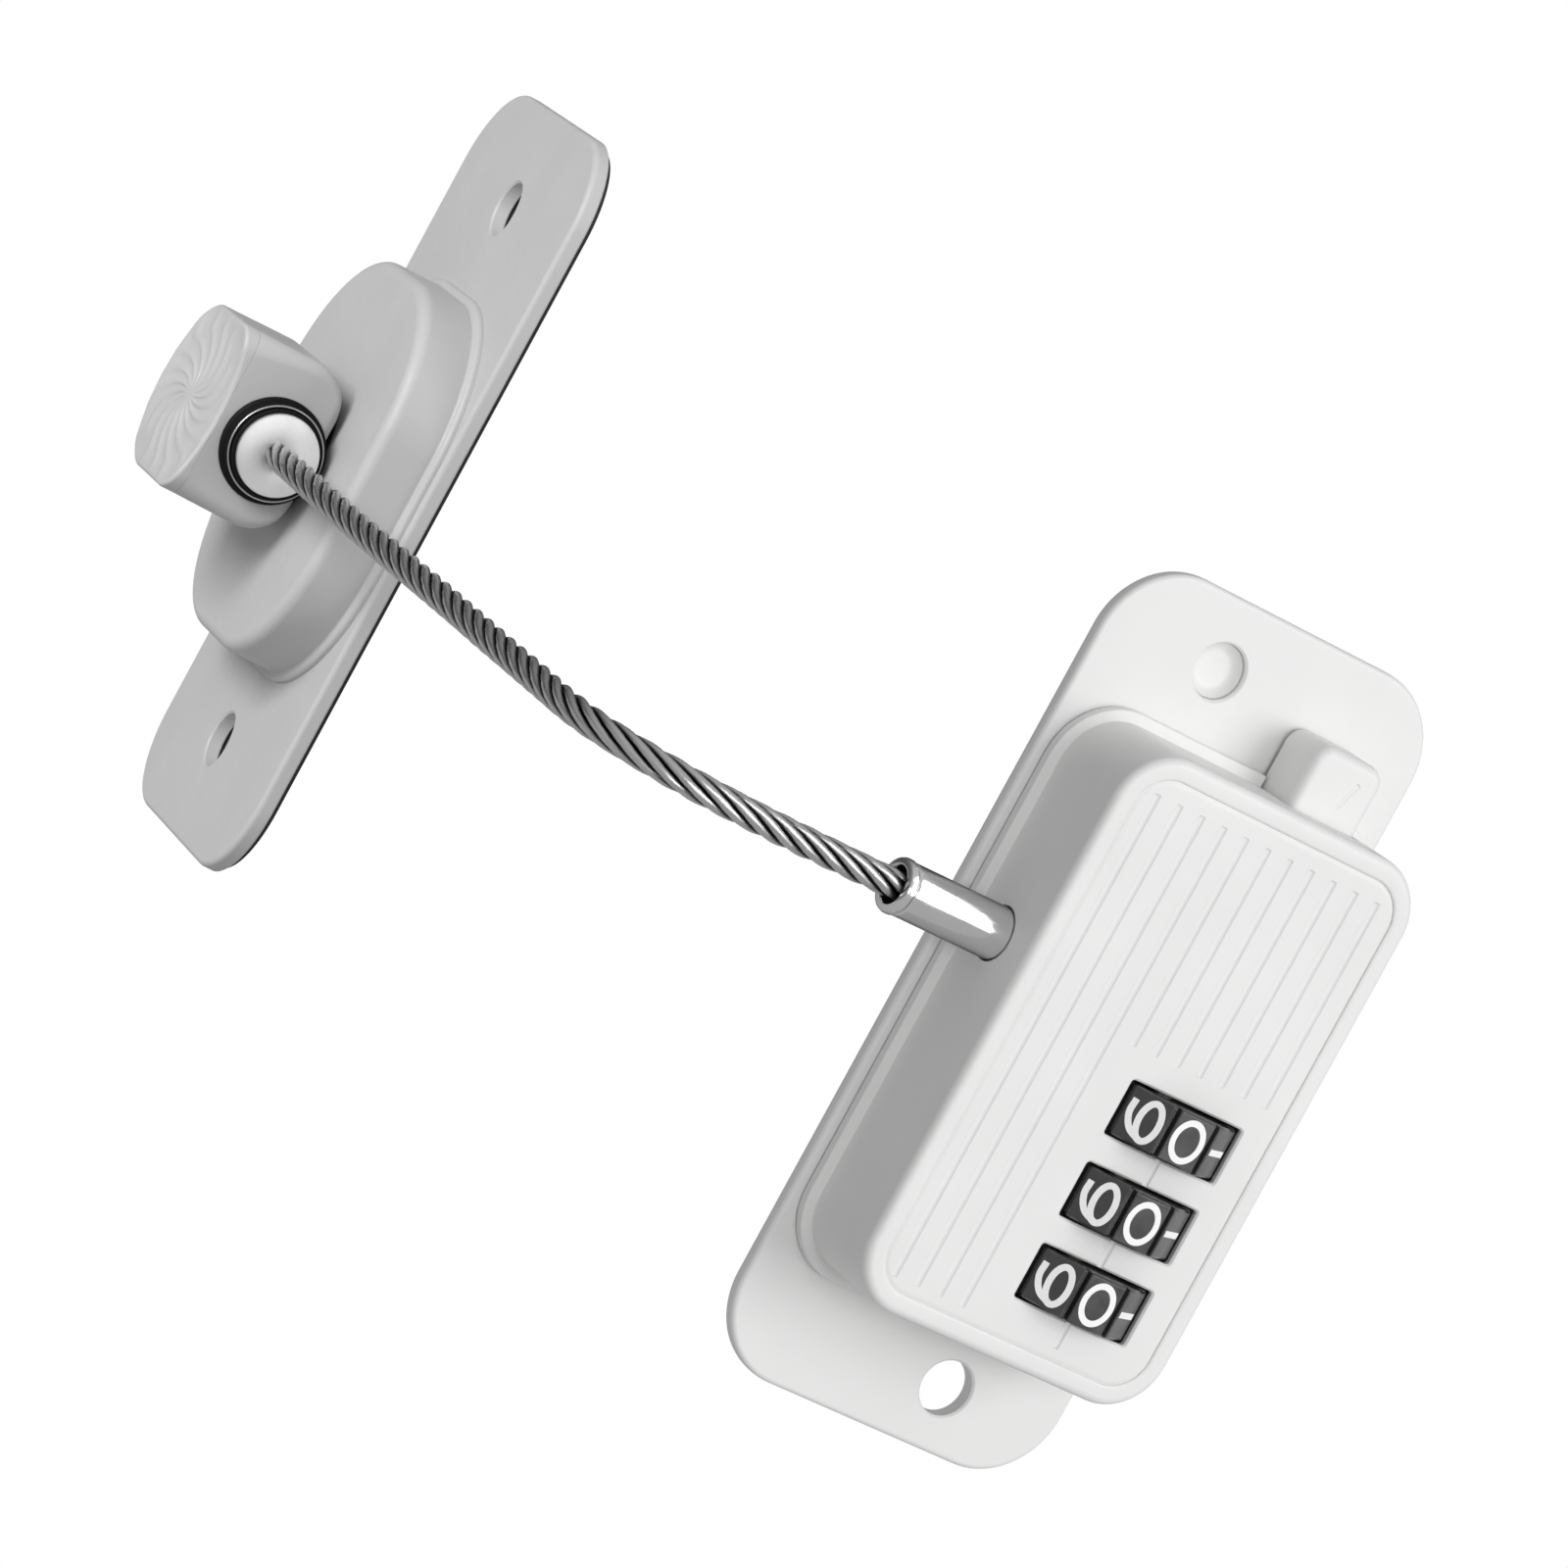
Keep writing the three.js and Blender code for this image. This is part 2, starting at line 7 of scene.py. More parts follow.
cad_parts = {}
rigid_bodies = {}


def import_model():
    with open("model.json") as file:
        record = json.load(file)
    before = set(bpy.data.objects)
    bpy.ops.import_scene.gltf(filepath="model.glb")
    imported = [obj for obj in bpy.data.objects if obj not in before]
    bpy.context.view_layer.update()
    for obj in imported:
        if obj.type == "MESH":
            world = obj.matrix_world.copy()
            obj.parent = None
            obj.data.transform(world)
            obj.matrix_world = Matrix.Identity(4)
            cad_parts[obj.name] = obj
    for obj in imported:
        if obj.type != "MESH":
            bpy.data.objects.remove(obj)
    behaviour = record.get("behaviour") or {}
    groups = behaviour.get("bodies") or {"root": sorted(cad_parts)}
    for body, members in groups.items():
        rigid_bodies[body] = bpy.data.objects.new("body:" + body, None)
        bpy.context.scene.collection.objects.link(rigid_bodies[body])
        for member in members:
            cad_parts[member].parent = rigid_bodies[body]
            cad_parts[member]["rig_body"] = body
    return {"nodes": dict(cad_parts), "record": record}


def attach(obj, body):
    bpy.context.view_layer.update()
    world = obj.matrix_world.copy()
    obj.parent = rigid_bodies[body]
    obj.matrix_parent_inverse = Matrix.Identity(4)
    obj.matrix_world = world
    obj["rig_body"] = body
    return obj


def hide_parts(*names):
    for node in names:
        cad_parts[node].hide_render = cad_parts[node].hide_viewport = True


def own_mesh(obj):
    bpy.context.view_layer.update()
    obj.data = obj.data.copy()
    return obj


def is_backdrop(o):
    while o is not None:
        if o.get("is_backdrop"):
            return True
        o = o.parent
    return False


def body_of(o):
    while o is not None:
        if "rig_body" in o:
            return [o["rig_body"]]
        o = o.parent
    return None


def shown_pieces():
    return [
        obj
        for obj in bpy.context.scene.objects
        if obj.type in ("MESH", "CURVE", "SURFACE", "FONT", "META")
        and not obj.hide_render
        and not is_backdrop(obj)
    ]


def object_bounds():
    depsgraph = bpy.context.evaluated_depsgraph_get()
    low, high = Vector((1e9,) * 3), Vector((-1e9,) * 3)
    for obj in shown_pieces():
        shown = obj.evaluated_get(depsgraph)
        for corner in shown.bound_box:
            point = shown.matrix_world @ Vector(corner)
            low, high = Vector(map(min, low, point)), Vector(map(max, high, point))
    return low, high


# Window restrictor cable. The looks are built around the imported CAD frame. Each piece is drawn in
# millimetres in its plate's own axes (x across the plate, y up it, z out of its front) and is then turned
# into metres in the row frame.

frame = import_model()
cad_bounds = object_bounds()

MM = 0.001
RECORD = frame["record"]
MOUNTS = {mount["name"]: mount for mount in RECORD["mounts"]}
JOINTS = {joint["name"]: joint for joint in RECORD["behaviour"]["joints"]}
OPENINGS = {opening["name"]: opening for opening in RECORD["physics"]["openings"]}
STAND_UP = Matrix.Rotation(math.pi / 2, 4, "X") @ Matrix.Scale(MM, 4)


def bracket_space():
    """The bracket's own axes: its back mount faces the sash, and its middle is on the swivel's axis."""
    back = MOUNTS["bracket_back"]
    turn = math.atan2(-back["axis"][0], back["axis"][1])
    x, y, _ = back["pos_m"]
    z = JOINTS["bracket_swivel"]["pos_m"][2]
    return Matrix.Translation((x, y, z)) @ Matrix.Rotation(turn, 4, "Z") @ STAND_UP


LOCK = STAND_UP
BRACKET = bracket_space()


class LocalBox:
    """A CAD node's box in a plate's own axes, in millimetres."""

    def __init__(self, node, space):
        inverse = space.inverted()
        points = [inverse @ v.co for v in frame["nodes"][node].data.vertices]
        self.x0, self.y0, self.z0 = (min(p[i] for p in points) for i in range(3))
        self.x1, self.y1, self.z1 = (max(p[i] for p in points) for i in range(3))
        self.w, self.h = self.x1 - self.x0, self.y1 - self.y0
        self.cx, self.cy = (self.x0 + self.x1) / 2, (self.y0 + self.y1) / 2
        self.cz = (self.z0 + self.z1) / 2


def opening_middle(name, space):
    """The middle of a stated opening, in a plate's own axes."""
    low, high = (Vector(corner) for corner in OPENINGS[name]["box_m"])
    return space.inverted() @ ((low + high) / 2)


# Camera ------------------------------------------------------------------------------------------------

# Found by fitting the lock's straight edges; the directions are made square to each other below.
CAMERA_PLACE = (-0.5157, -0.7530, 0.0797)
CAMERA_RIGHT = (0.7632, -0.4349, 0.4778)
CAMERA_UP = (-0.3686, 0.3143, 0.8748)
SENSOR_MM = 36
LENS_MM = 215.9


def make_camera():
    """Close to the lock's front, a little to its left, and rolled so that the plates lean."""
    data = bpy.data.cameras.new("camera")
    data.sensor_width = SENSOR_MM
    data.lens = LENS_MM
    data.clip_start = 0.01
    data.clip_end = 20
    camera = bpy.data.objects.new("camera", data)
    bpy.context.scene.collection.objects.link(camera)
    right, up = Vector(CAMERA_RIGHT), Vector(CAMERA_UP)
    back = right.cross(up).normalized()
    right = up.cross(back).normalized()
    up = back.cross(right).normalized()
    rotation = Matrix((right, up, back)).transposed().to_4x4()
    camera.matrix_world = Matrix.Translation(CAMERA_PLACE) @ rotation
    bpy.context.scene.camera = camera


make_camera()

# Materials ---------------------------------------------------------------------------------------------


def link(tree, from_node, output, to_node, socket):
    tree.links.new(from_node.outputs[output], to_node.inputs[socket])


def start_material(name, roughness, metallic=0.0):
    """A Principled material, and texture coordinates that count in millimetres."""
    material = bpy.data.materials.new(name)
    material.use_nodes = True
    tree = material.node_tree
    shader = tree.nodes["Principled BSDF"]
    shader.inputs["Roughness"].default_value = roughness
    shader.inputs["Metallic"].default_value = metallic
    coordinates = tree.nodes.new("ShaderNodeTexCoord")
    in_mm = tree.nodes.new("ShaderNodeMapping")
    in_mm.inputs["Scale"].default_value = (1000, 1000, 1000)
    link(tree, coordinates, "Object", in_mm, "Vector")
    return material, tree, shader, in_mm


def noise(tree, coordinates, per_mm, detail=3.0, roughness=0.5):
    node = tree.nodes.new("ShaderNodeTexNoise")
    node.inputs["Scale"].default_value = per_mm
    node.inputs["Detail"].default_value = detail
    node.inputs["Roughness"].default_value = roughness
    link(tree, coordinates, "Vector", node, "Vector")
    return node


def ramp(tree, source, output, stops):
    """A colour ramp through (position, colour) stops."""
    node = tree.nodes.new("ShaderNodeValToRGB")
    elements = node.color_ramp.elements
    for element, (position, color) in zip(elements, (stops[0], stops[-1])):
        element.position = position
        element.color = (*color, 1)
    for position, color in stops[1:-1]:
        elements.new(position).color = (*color, 1)
    link(tree, source, output, node, "Fac")
    return node


def spread(tree, source, output, low, high, low_in=0.3, high_in=0.7):
    """Maps a value that lies between low_in and high_in to the range low to high."""
    node = tree.nodes.new("ShaderNodeMapRange")
    node.inputs["From Min"].default_value = low_in
    node.inputs["From Max"].default_value = high_in
    node.inputs["To Min"].default_value = low
    node.inputs["To Max"].default_value = high
    link(tree, source, output, node, "Value")
    return node


def rounded_normal(tree, radius_mm):
    """Shades edges as if they were rounded."""
    bevel = tree.nodes.new("ShaderNodeBevel")
    bevel.samples = 4
    bevel.inputs["Radius"].default_value = radius_mm * MM
    return bevel


def bumps(tree, shader, height, output, strength, depth_mm, edge_mm=0.12):
    """Bump from a texture on top of softly rounded edges."""
    bump = tree.nodes.new("ShaderNodeBump")
    bump.inputs["Strength"].default_value = strength
    bump.inputs["Distance"].default_value = depth_mm * MM
    link(tree, height, output, bump, "Height")
    if edge_mm:
        link(tree, rounded_normal(tree, edge_mm), "Normal", bump, "Normal")
    link(tree, bump, "Normal", shader, "Normal")


def tinted(color, factor):
    return tuple(min(1.0, channel * factor) for channel in color)


def paint(name, color, roughness=0.42, texture_mm=0.5, strength=0.25, variation=0.03):
    """Powder coat: fine orange peel, faint cloudiness in its colour and patches of more and less gloss."""
    material, tree, shader, coordinates = start_material(name, roughness)
    clouds = noise(tree, coordinates, 0.07, 4)
    stops = [(0.3, tinted(color, 1 - variation)), (0.7, tinted(color, 1 + variation * 0.5))]
    link(tree, ramp(tree, clouds, "Fac", stops), "Color", shader, "Base Color")
    gloss = noise(tree, coordinates, 0.9, 5)
    rough = spread(tree, gloss, "Fac", roughness - 0.05, roughness + 0.08)
    link(tree, rough, "Result", shader, "Roughness")
    peel = noise(tree, coordinates, 1 / texture_mm, 2)
    bumps(tree, shader, peel, "Fac", strength, 0.02)
    return material


def metal(
    name,
    color,
    roughness,
    grain=(1, 1, 1),
    per_mm=3.0,
    strength=0.2,
    variation=0.12,
    edge_mm=0.1,
    pure=1.0,
    rim=1.0,
):
    """Bare metal. Grain squeezes the scratches along one axis, pure below 1 is a dull plated look, and rim
    below 1 darkens what is seen edge on."""
    material, tree, shader, coordinates = start_material(name, roughness, pure)
    # A rim below 1 paints dark reflections along the edges of round parts.
    shader.inputs["Specular Tint"].default_value = (rim, rim, rim, 1)
    scratch = tree.nodes.new("ShaderNodeMapping")
    scratch.inputs["Scale"].default_value = grain
    link(tree, coordinates, "Vector", scratch, "Vector")
    fine = noise(tree, scratch, per_mm, 6, 0.6)
    blotches = noise(tree, coordinates, 0.35, 4)
    stops = [(0.3, tinted(color, 1 - variation)), (0.7, color)]
    link(tree, ramp(tree, blotches, "Fac", stops), "Color", shader, "Base Color")
    rough = spread(tree, fine, "Fac", max(0.03, roughness - 0.06), roughness + 0.1)
    link(tree, rough, "Result", shader, "Roughness")
    bumps(tree, shader, fine, "Fac", strength, 0.008, edge_mm)
    return material


def rope_metal(name, color, painted_groove_shade):
    """Bright wire, with painted shade between the wires where the surface is hollow."""
    material, tree, shader, coordinates = start_material(name, 0.3, 1.0)
    hollow = tree.nodes.new("ShaderNodeAttribute")
    hollow.attribute_name = "hollow"
    stops = [(0.0, color), (0.3, tinted(color, 0.85)), (0.75, painted_groove_shade), (1.0, painted_groove_shade)]
    shade = ramp(tree, hollow, "Fac", stops)
    link(tree, shade, "Color", shader, "Base Color")
    drawn = noise(tree, coordinates, 2.0, 5)
    rough = spread(tree, drawn, "Fac", 0.22, 0.4)
    link(tree, rough, "Result", shader, "Roughness")
    bumps(tree, shader, drawn, "Fac", 0.15, 0.01, 0)
    return material


def moulded(name, color, roughness=0.4, per_mm=2.5, strength=0.2, variation=0.1, shine=0.5):
    """Moulded plastic or rubber with a fine spark-eroded texture."""
    material, tree, shader, coordinates = start_material(name, roughness)
    shader.inputs["Specular IOR Level"].default_value = shine
    speckle = noise(tree, coordinates, per_mm, 5, 0.65)
    stops = [(0.3, tinted(color, 1 - variation)), (0.7, tinted(color, 1 + variation))]
    link(tree, ramp(tree, speckle, "Fac", stops), "Color", shader, "Base Color")
    patches = noise(tree, coordinates, 0.4, 3)
    rough = spread(tree, patches, "Fac", roughness - 0.06, roughness + 0.08)
    link(tree, rough, "Result", shader, "Roughness")
    bumps(tree, shader, speckle, "Fac", strength, 0.012)
    return material


WHITE = (0.80, 0.80, 0.795)
GREY = (0.50, 0.50, 0.50)
MATERIALS = {
    "lock_paint": paint("white_powder_coat", WHITE),
    "cap_plastic": moulded("white_cap", WHITE, 0.45, per_mm=2.0, strength=0.12, variation=0.015),
    "bracket_paint": paint("grey_powder_coat", GREY, 0.46, 0.45, strength=0.3, variation=0.04),
    "steel": metal("plain_steel", (0.55, 0.55, 0.56), 0.32, grain=(1, 1, 6)),
    # The second colour is painted shade, laid deep between the strands and wires.
    "cable_steel": rope_metal("rope_wire", (0.66, 0.66, 0.66), painted_groove_shade=(0.05, 0.05, 0.05)),
    "chrome": metal(
        "polished_chrome",
        (0.86, 0.86, 0.87),
        0.13,
        grain=(0.3, 3, 3),
        per_mm=1.2,
        strength=0.05,
        variation=0.03,
        edge_mm=0.08,
        # The low rim paints dark reflections along the ferrule's edges.
        rim=0.25,
    ),
    "brass": metal("turned_brass", (0.62, 0.45, 0.17), 0.3, grain=(6, 6, 1)),
    "dial_plastic": moulded(
        "dial_plastic", (0.028, 0.028, 0.0285), 0.2, per_mm=1.8, strength=0.1, variation=0.12, shine=1.0
    ),
    "ring_plastic": moulded(
        "dark_ring", (0.006, 0.006, 0.006), 0.5, per_mm=2.0, strength=0.1, variation=0.15, shine=0.12
    ),
    "pad_rubber": moulded("pad_rubber", (0.02, 0.02, 0.02), 0.75, 1.2, strength=0.5, variation=0.25),
}
SATIN_ZINC = metal(
    "satin_zinc",
    (0.92, 0.92, 0.92),
    0.42,
    grain=(3, 1, 1),
    per_mm=1.5,
    strength=0.1,
    variation=0.05,
    edge_mm=0.06,
    pure=0.3,
)
DIGIT_PAINT = moulded("digit_paint", (0.93, 0.93, 0.93), 0.5, per_mm=3.0, strength=0.15, variation=0.03)

# Shapes ------------------------------------------------------------------------------------------------


def outline(w, h, radii, cx=0.0, cy=0.0, inset=0.0, steps=12):
    """A rectangle with round corners (right top, left top, left bottom, right bottom), inset all round."""
    if not isinstance(radii, (tuple, list)):
        radii = (radii,) * 4
    half_w, half_h = w / 2 - inset, h / 2 - inset
    points = []
    for corner, (sx, sy) in enumerate(((1, 1), (-1, 1), (-1, -1), (1, -1))):
        r = max(radii[corner] - inset, 0.02)
        middle_x, middle_y = cx + sx * (half_w - r), cy + sy * (half_h - r)
        for step in range(steps + 1):
            angle = math.pi / 2 * (corner + step / steps)
            points.append((middle_x + r * math.cos(angle), middle_y + r * math.sin(angle)))
    return points


def new_object(name, vertices, faces):
    mesh = bpy.data.meshes.new(name)
    mesh.from_pydata(vertices, [], faces)
    mesh.validate()
    thing = bpy.data.objects.new(name, mesh)
    bpy.context.scene.collection.objects.link(thing)
    return thing


def lofted(name, rings, closed=False):
    """Joins rings of points, in order from the bottom up; closed joins the last ring to the first."""
    count = len(rings[0])
    vertices = [point for ring in rings for point in ring]
    faces = []
    pairs = len(rings) if closed else len(rings) - 1
    for i in range(pairs):
        a, b = i * count, ((i + 1) % len(rings)) * count
        for j in range(count):
            k = (j + 1) % count
            faces.append((a + j, a + k, b + k, b + j))
    if not closed:
        faces.append(tuple(reversed(range(count))))
        faces.append(tuple(range(len(vertices) - count, len(vertices))))
    return new_object(name, vertices, faces)


def plate(name, size, profile, closed=False, steps=12):
    """A plate from (inset, height) points, bottom first; size is outline()'s w, h, radii, cx, cy."""
    rings = [
        [(x, y, z) for x, y in outline(*size, inset=inset, steps=steps)] for inset, z in profile
    ]
    return lofted(name, rings, closed)


def rounded_top(z, r, inset=0.0, steps=6):
    """Profile points that round a wall at this inset over into a flat top at height z."""
    angles = [math.pi / 2 * i / steps for i in range(steps + 1)]
    return [(inset + r - r * math.cos(a), z - r + r * math.sin(a)) for a in angles]


def rounded_foot(z, r, inset, steps=5):
    """Profile points of a hollow fillet from a flat at height z up into a wall at this inset."""
    angles = [math.pi / 2 * i / steps for i in range(steps + 1)]
    return [(inset - r + r * math.sin(a), z + r - r * math.cos(a)) for a in angles]


def turned(name, profile, axis="z", at=(0, 0, 0), closed=False, steps=64):
    """A turned solid from (radius, distance along the axis) points."""
    rings = []
    for radius, along in profile:
        ring = []
        for step in range(steps):
            angle = 2 * math.pi * step / steps
            a, b = radius * math.cos(angle), radius * math.sin(angle)
            point = {"x": (along, a, b), "y": (b, along, a), "z": (a, b, along)}[axis]
            ring.append(tuple(p + offset for p, offset in zip(point, at)))
        rings.append(ring)
    return lofted(name, rings, closed)


def rod(radius, low, high, axis="z", at=(0, 0, 0), steps=64):
    """A round cutter."""
    return turned("cutter", [(radius, low), (radius, high)], axis, at, steps=steps)


def box(x, y, z):
    """A square cutter, from a low and a high value on each axis."""
    corners = [(i, j, k) for i in x for j in y for k in z]
    faces = [(0, 1, 3, 2), (4, 6, 7, 5), (0, 4, 5, 1), (2, 3, 7, 6), (0, 2, 6, 4), (1, 5, 7, 3)]
    return new_object("cutter", corners, faces)


def merge_into(thing, others, operation):
    """Adds the others to the thing, or cuts them out of it, and removes them."""
    for other in others:
        modifier = thing.modifiers.new("merge", "BOOLEAN")
        modifier.operation = operation
        modifier.solver = "EXACT"
        modifier.object = other
    graph = bpy.context.evaluated_depsgraph_get()
    mesh = bpy.data.meshes.new_from_object(thing.evaluated_get(graph))
    thing.modifiers.clear()
    thing.data = mesh
    for other in others:
        bpy.data.objects.remove(other)
    return thing


def cut(thing, *cutters):
    return merge_into(thing, cutters, "DIFFERENCE")


def unite(thing, *others):
    return merge_into(thing, others, "UNION")


def settle(thing, space, body, slot, replaced=(), material=None, sharp=32):
    """Puts a finished shape in the row frame, shades it, gives it its material and makes it ride."""
    thing.data.transform(space)
    thing.data.shade_smooth()
    thing.data.set_sharp_from_angle(angle=math.radians(sharp))
    thing.data.materials.clear()
    thing.data.materials.append(material or MATERIALS[slot])
    weights = thing.modifiers.new("normals", "WEIGHTED_NORMAL")
    weights.keep_sharp = True
    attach(thing, body)
    if replaced:
        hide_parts(*replaced)


# Cable -------------------------------------------------------------------------------------------------

CABLE_ROUTE = [
    (-0.0532, 0.1020, 0.0073),
    (-0.0542, 0.0969, 0.0073),
    (-0.0557, 0.0880, 0.0072),
    (-0.0575, 0.0740, 0.0070),
    (-0.0592, 0.0580, 0.0068),
    (-0.0606, 0.0420, 0.0066),
    (-0.0620, 0.0260, 0.0063),
    (-0.0630, 0.0140, 0.0061),
    (-0.0635, 0.0055, 0.0059),
    (-0.0625, 0.0003, 0.0058),
    (-0.0595, -0.0040, 0.0057),
    (-0.0552, -0.0070, 0.0056),
    (-0.0500, -0.0080, 0.0055),
    (-0.0440, -0.0080, 0.0054),
    (-0.0370, -0.0080, 0.0054),
    (-0.0311, -0.0080, 0.0054),
    (-0.0257, -0.0080, 0.0054),
]
CABLE_D = 0.0030
CABLE_STEP = 0.00045
STRANDS = 6
STRAND_SHARE = 0.36  # of the rope's radius
STRAND_SIDES = 24
STRAND_LAY = 0.019  # length of one turn of a strand round the core
WIRES = 6
WIRE_LAY = 0.0085  # length of one turn of a wire in its strand


def smooth_route(points, step):
    """Centripetal Catmull-Rom through the points, sampled about every step."""
    points = [Vector(p) for p in points]
    padded = [2 * points[0] - points[1], *points, 2 * points[-1] - points[-2]]
    route = []
    for p0, p1, p2, p3 in zip(padded, padded[1:], padded[2:], padded[3:]):
        t0 = 0.0
        t1 = t0 + math.sqrt((p1 - p0).length)
        t2 = t1 + math.sqrt((p2 - p1).length)
        t3 = t2 + math.sqrt((p3 - p2).length)
        count = max(2, round((p2 - p1).length / step))
        for i in range(count):
            t = t1 + (t2 - t1) * i / count
            a1 = p0 * ((t1 - t) / (t1 - t0)) + p1 * ((t - t0) / (t1 - t0))
            a2 = p1 * ((t2 - t) / (t2 - t1)) + p2 * ((t - t1) / (t2 - t1))
            a3 = p2 * ((t3 - t) / (t3 - t2)) + p3 * ((t - t2) / (t3 - t2))
            b1 = a1 * ((t2 - t) / (t2 - t0)) + a2 * ((t - t0) / (t2 - t0))
            b2 = a2 * ((t3 - t) / (t3 - t1)) + a3 * ((t - t1) / (t3 - t1))
            route.append(b1 * ((t2 - t) / (t2 - t1)) + b2 * ((t - t1) / (t2 - t1)))
    route.append(points[-1])
    return route


def carried_frames(route):
    """A normal and binormal at each point, carried along without twist."""
    normal = Vector((0, 0, 1))
    frames = []
    for i, point in enumerate(route):
        ahead = route[min(i + 1, len(route) - 1)] - route[max(i - 1, 0)]
        tangent = ahead.normalized()
        normal = (normal - tangent * normal.dot(tangent)).normalized()
        frames.append((point, tangent, normal, tangent.cross(normal)))
    return frames


def strand_ring(middle, outward, across, strand_r, twist, core):
    """One ring of points round a strand, and how hollow the rope is at each: 1 deep between strands."""
    points, hollows = [], []
    for side in range(STRAND_SIDES):
        angle = 2 * math.pi * side / STRAND_SIDES
        wire = 0.5 + 0.5 * math.cos(WIRES * (angle - twist))
        radius = strand_r * (1.04 if core else 0.93 + 0.09 * wire)
        points.append(middle + (outward * math.cos(angle) + across * math.sin(angle)) * radius)
        # The hollow values mark where the rope's colour is painted dark as shade between strands and wires.
        inner = 0.5 - 0.5 * math.cos(angle)
        between_strands = min(1.0, (inner / 0.42) ** 1.6)
        between_wires = 0.16 * (1 - wire) ** 2
        hollows.append(1.0 if core else min(1.0, between_wires + between_strands))
    return points, hollows


def make_cable():
    """A steel rope: right-hand lay strands round a core, each strand itself laid up from wires."""
    route = smooth_route(CABLE_ROUTE, CABLE_STEP)
    frames = carried_frames(route)
    distance = [0.0]
    for a, b in zip(route, route[1:]):
        distance.append(distance[-1] + (b - a).length)
    strand_r = CABLE_D / 2 * STRAND_SHARE
    ring_r = CABLE_D / 2 - strand_r
    sides, last = STRAND_SIDES, len(frames) - 1
    vertices, faces, hollows = [], [], []
    for strand in range(STRANDS + 1):
        core = strand == STRANDS
        start = len(vertices)
        for (point, _, normal, binormal), s in zip(frames, distance):
            turn = 2 * math.pi * (s / STRAND_LAY + strand / STRANDS)
            outward = normal * math.cos(turn) + binormal * math.sin(turn)
            across = binormal * math.cos(turn) - normal * math.sin(turn)
            middle = point if core else point + outward * ring_r
            twist = -2 * math.pi * s / WIRE_LAY
            ring, hollow = strand_ring(middle, outward, across, strand_r, twist, core)
            vertices += ring
            hollows += hollow
        for i in range(last):
            a, b = start + i * sides, start + (i + 1) * sides
            for j in range(sides):
                k = (j + 1) % sides
                faces.append((a + j, a + k, b + k, b + j))
        faces.append(tuple(start + j for j in reversed(range(sides))))
        faces.append(tuple(start + last * sides + j for j in range(sides)))
    cable = new_object("steel_rope", vertices, faces)
    # The hollow values are the mask for the rope's painted shade.
    attribute = cable.data.attributes.new("hollow", "FLOAT", "POINT")
    attribute.data.foreach_set("value", hollows)
    settle(cable, Matrix.Identity(4), "cable", "cable_steel", ["steel_cable"], sharp=80)
    return cable, route[::4] + [route[-1]], distance[-1]


# Lock --------------------------------------------------------------------------------------------------

PLATE = LocalBox("lock_base_plate", LOCK)
HOUSING = LocalBox("lock_housing", LOCK)
FACE = LocalBox("lock_face_plate", LOCK)
HOLE_CAP = LocalBox("screw_hole_cap", LOCK)
PLUG = LocalBox("cable_plug", LOCK)
LOWER_HOLE = opening_middle("lock_lower_fixing_hole", LOCK)
HOLE_R = 2.9
PLATE_R = 8.6
PLATE_ROUND = 0.55
SCREW_SINK = [(3.9, -1), (2.9, 0), (1.3, 1.6), (1.3, 3)]  # radius and height in the plate
SKIRT_R = 7.4
SKIRT_OUT = 1.2
SKIRT_TOP = 3.3
WALL = 2.2
CASE_ROUND = 0.9
CAVITY_R = 4.0
FACE_T = 2.0
FACE_SINK = 0.1
PLUG_R = 2.75
PLUG_GAP = 0.16
PLUG_BORE = (-25, -12)  # through the case's left wall
BUTTON = LocalBox("release_button", LOCK)
BUTTON_W = 8.6
BUTTON_FRONT = 8.8
BUTTON_SLOT_W = 9.2
BUTTON_SLOT_Y = (25, 40)  # through the case's top wall
BUTTON_SLOT_TOP = 9.1
TICK_SLANT = -20  # degrees
DIALS = [LocalBox(f"dial_wheel_{i}", LOCK) for i in (1, 2, 3)]
WINDOW_W = 14.2
WINDOW_H = 6.0
WINDOW_R = 0.35
DIAL_SIDE_GAP = 0.25
DIAL_RIM_GAP = 0.2
GROOVES = 11
LONG_GROOVES = 4  # the ones left of the dials
GROOVE_PITCH = 2.85
GROOVE_LEFT = -14.0
GROOVE_TOP = 24.7
GROOVE_FOOT_LONG = -27.8
GROOVE_FOOT_SHORT = 2.0


def through_hole(x, y, radius, low, high, chamfer=0.22):
    """A hole cutter with a small chamfer at the plate's back and front."""
    profile = [
        (radius + chamfer + 0.5, low - 0.5),
        (radius, low + chamfer),
        (radius, high - chamfer),
        (radius + chamfer + 0.5, high + 0.5),
    ]
    return turned("cutter", profile, "z", (x, y, 0))


def make_base_plate():
    """The lock's plate: softly rounded behind, with fixing holes, sunk screws and pockets for the dials."""
    size = (PLATE.w, PLATE.h, PLATE_R, PLATE.cx, PLATE.cy)
    back_edge = [(0.8, 0), (0.45, 0.1), (0.2, 0.28), (0.05, 0.55), (0, 0.85)]
    profile = back_edge + rounded_top(PLATE.z1, PLATE_ROUND)
    base = plate("lock_plate", size, profile, steps=20)
    cutters = [
        through_hole(LOWER_HOLE.x, LOWER_HOLE.y, HOLE_R, 0, PLATE.z1),
        through_hole(HOLE_CAP.cx, HOLE_CAP.cy, HOLE_R, 0, PLATE.z1),
    ]
    for i in range(1, 5):
        screw = LocalBox(f"housing_screw_{i}", LOCK)
        cutters.append(turned("cutter", SCREW_SINK, "z", (screw.cx, screw.cy, 0), steps=40))
    for dial in DIALS:
        low, high = dial.y0 - DIAL_SIDE_GAP, dial.y1 + DIAL_SIDE_GAP
        pocket_r = DIAL_R + DIAL_RIM_GAP
        cutters.append(rod(pocket_r, low, high, "y", (dial.cx, 0, dial.cz), steps=96))
    settle(cut(base, *cutters), LOCK, "lock", "lock_paint", ["lock_base_plate"])


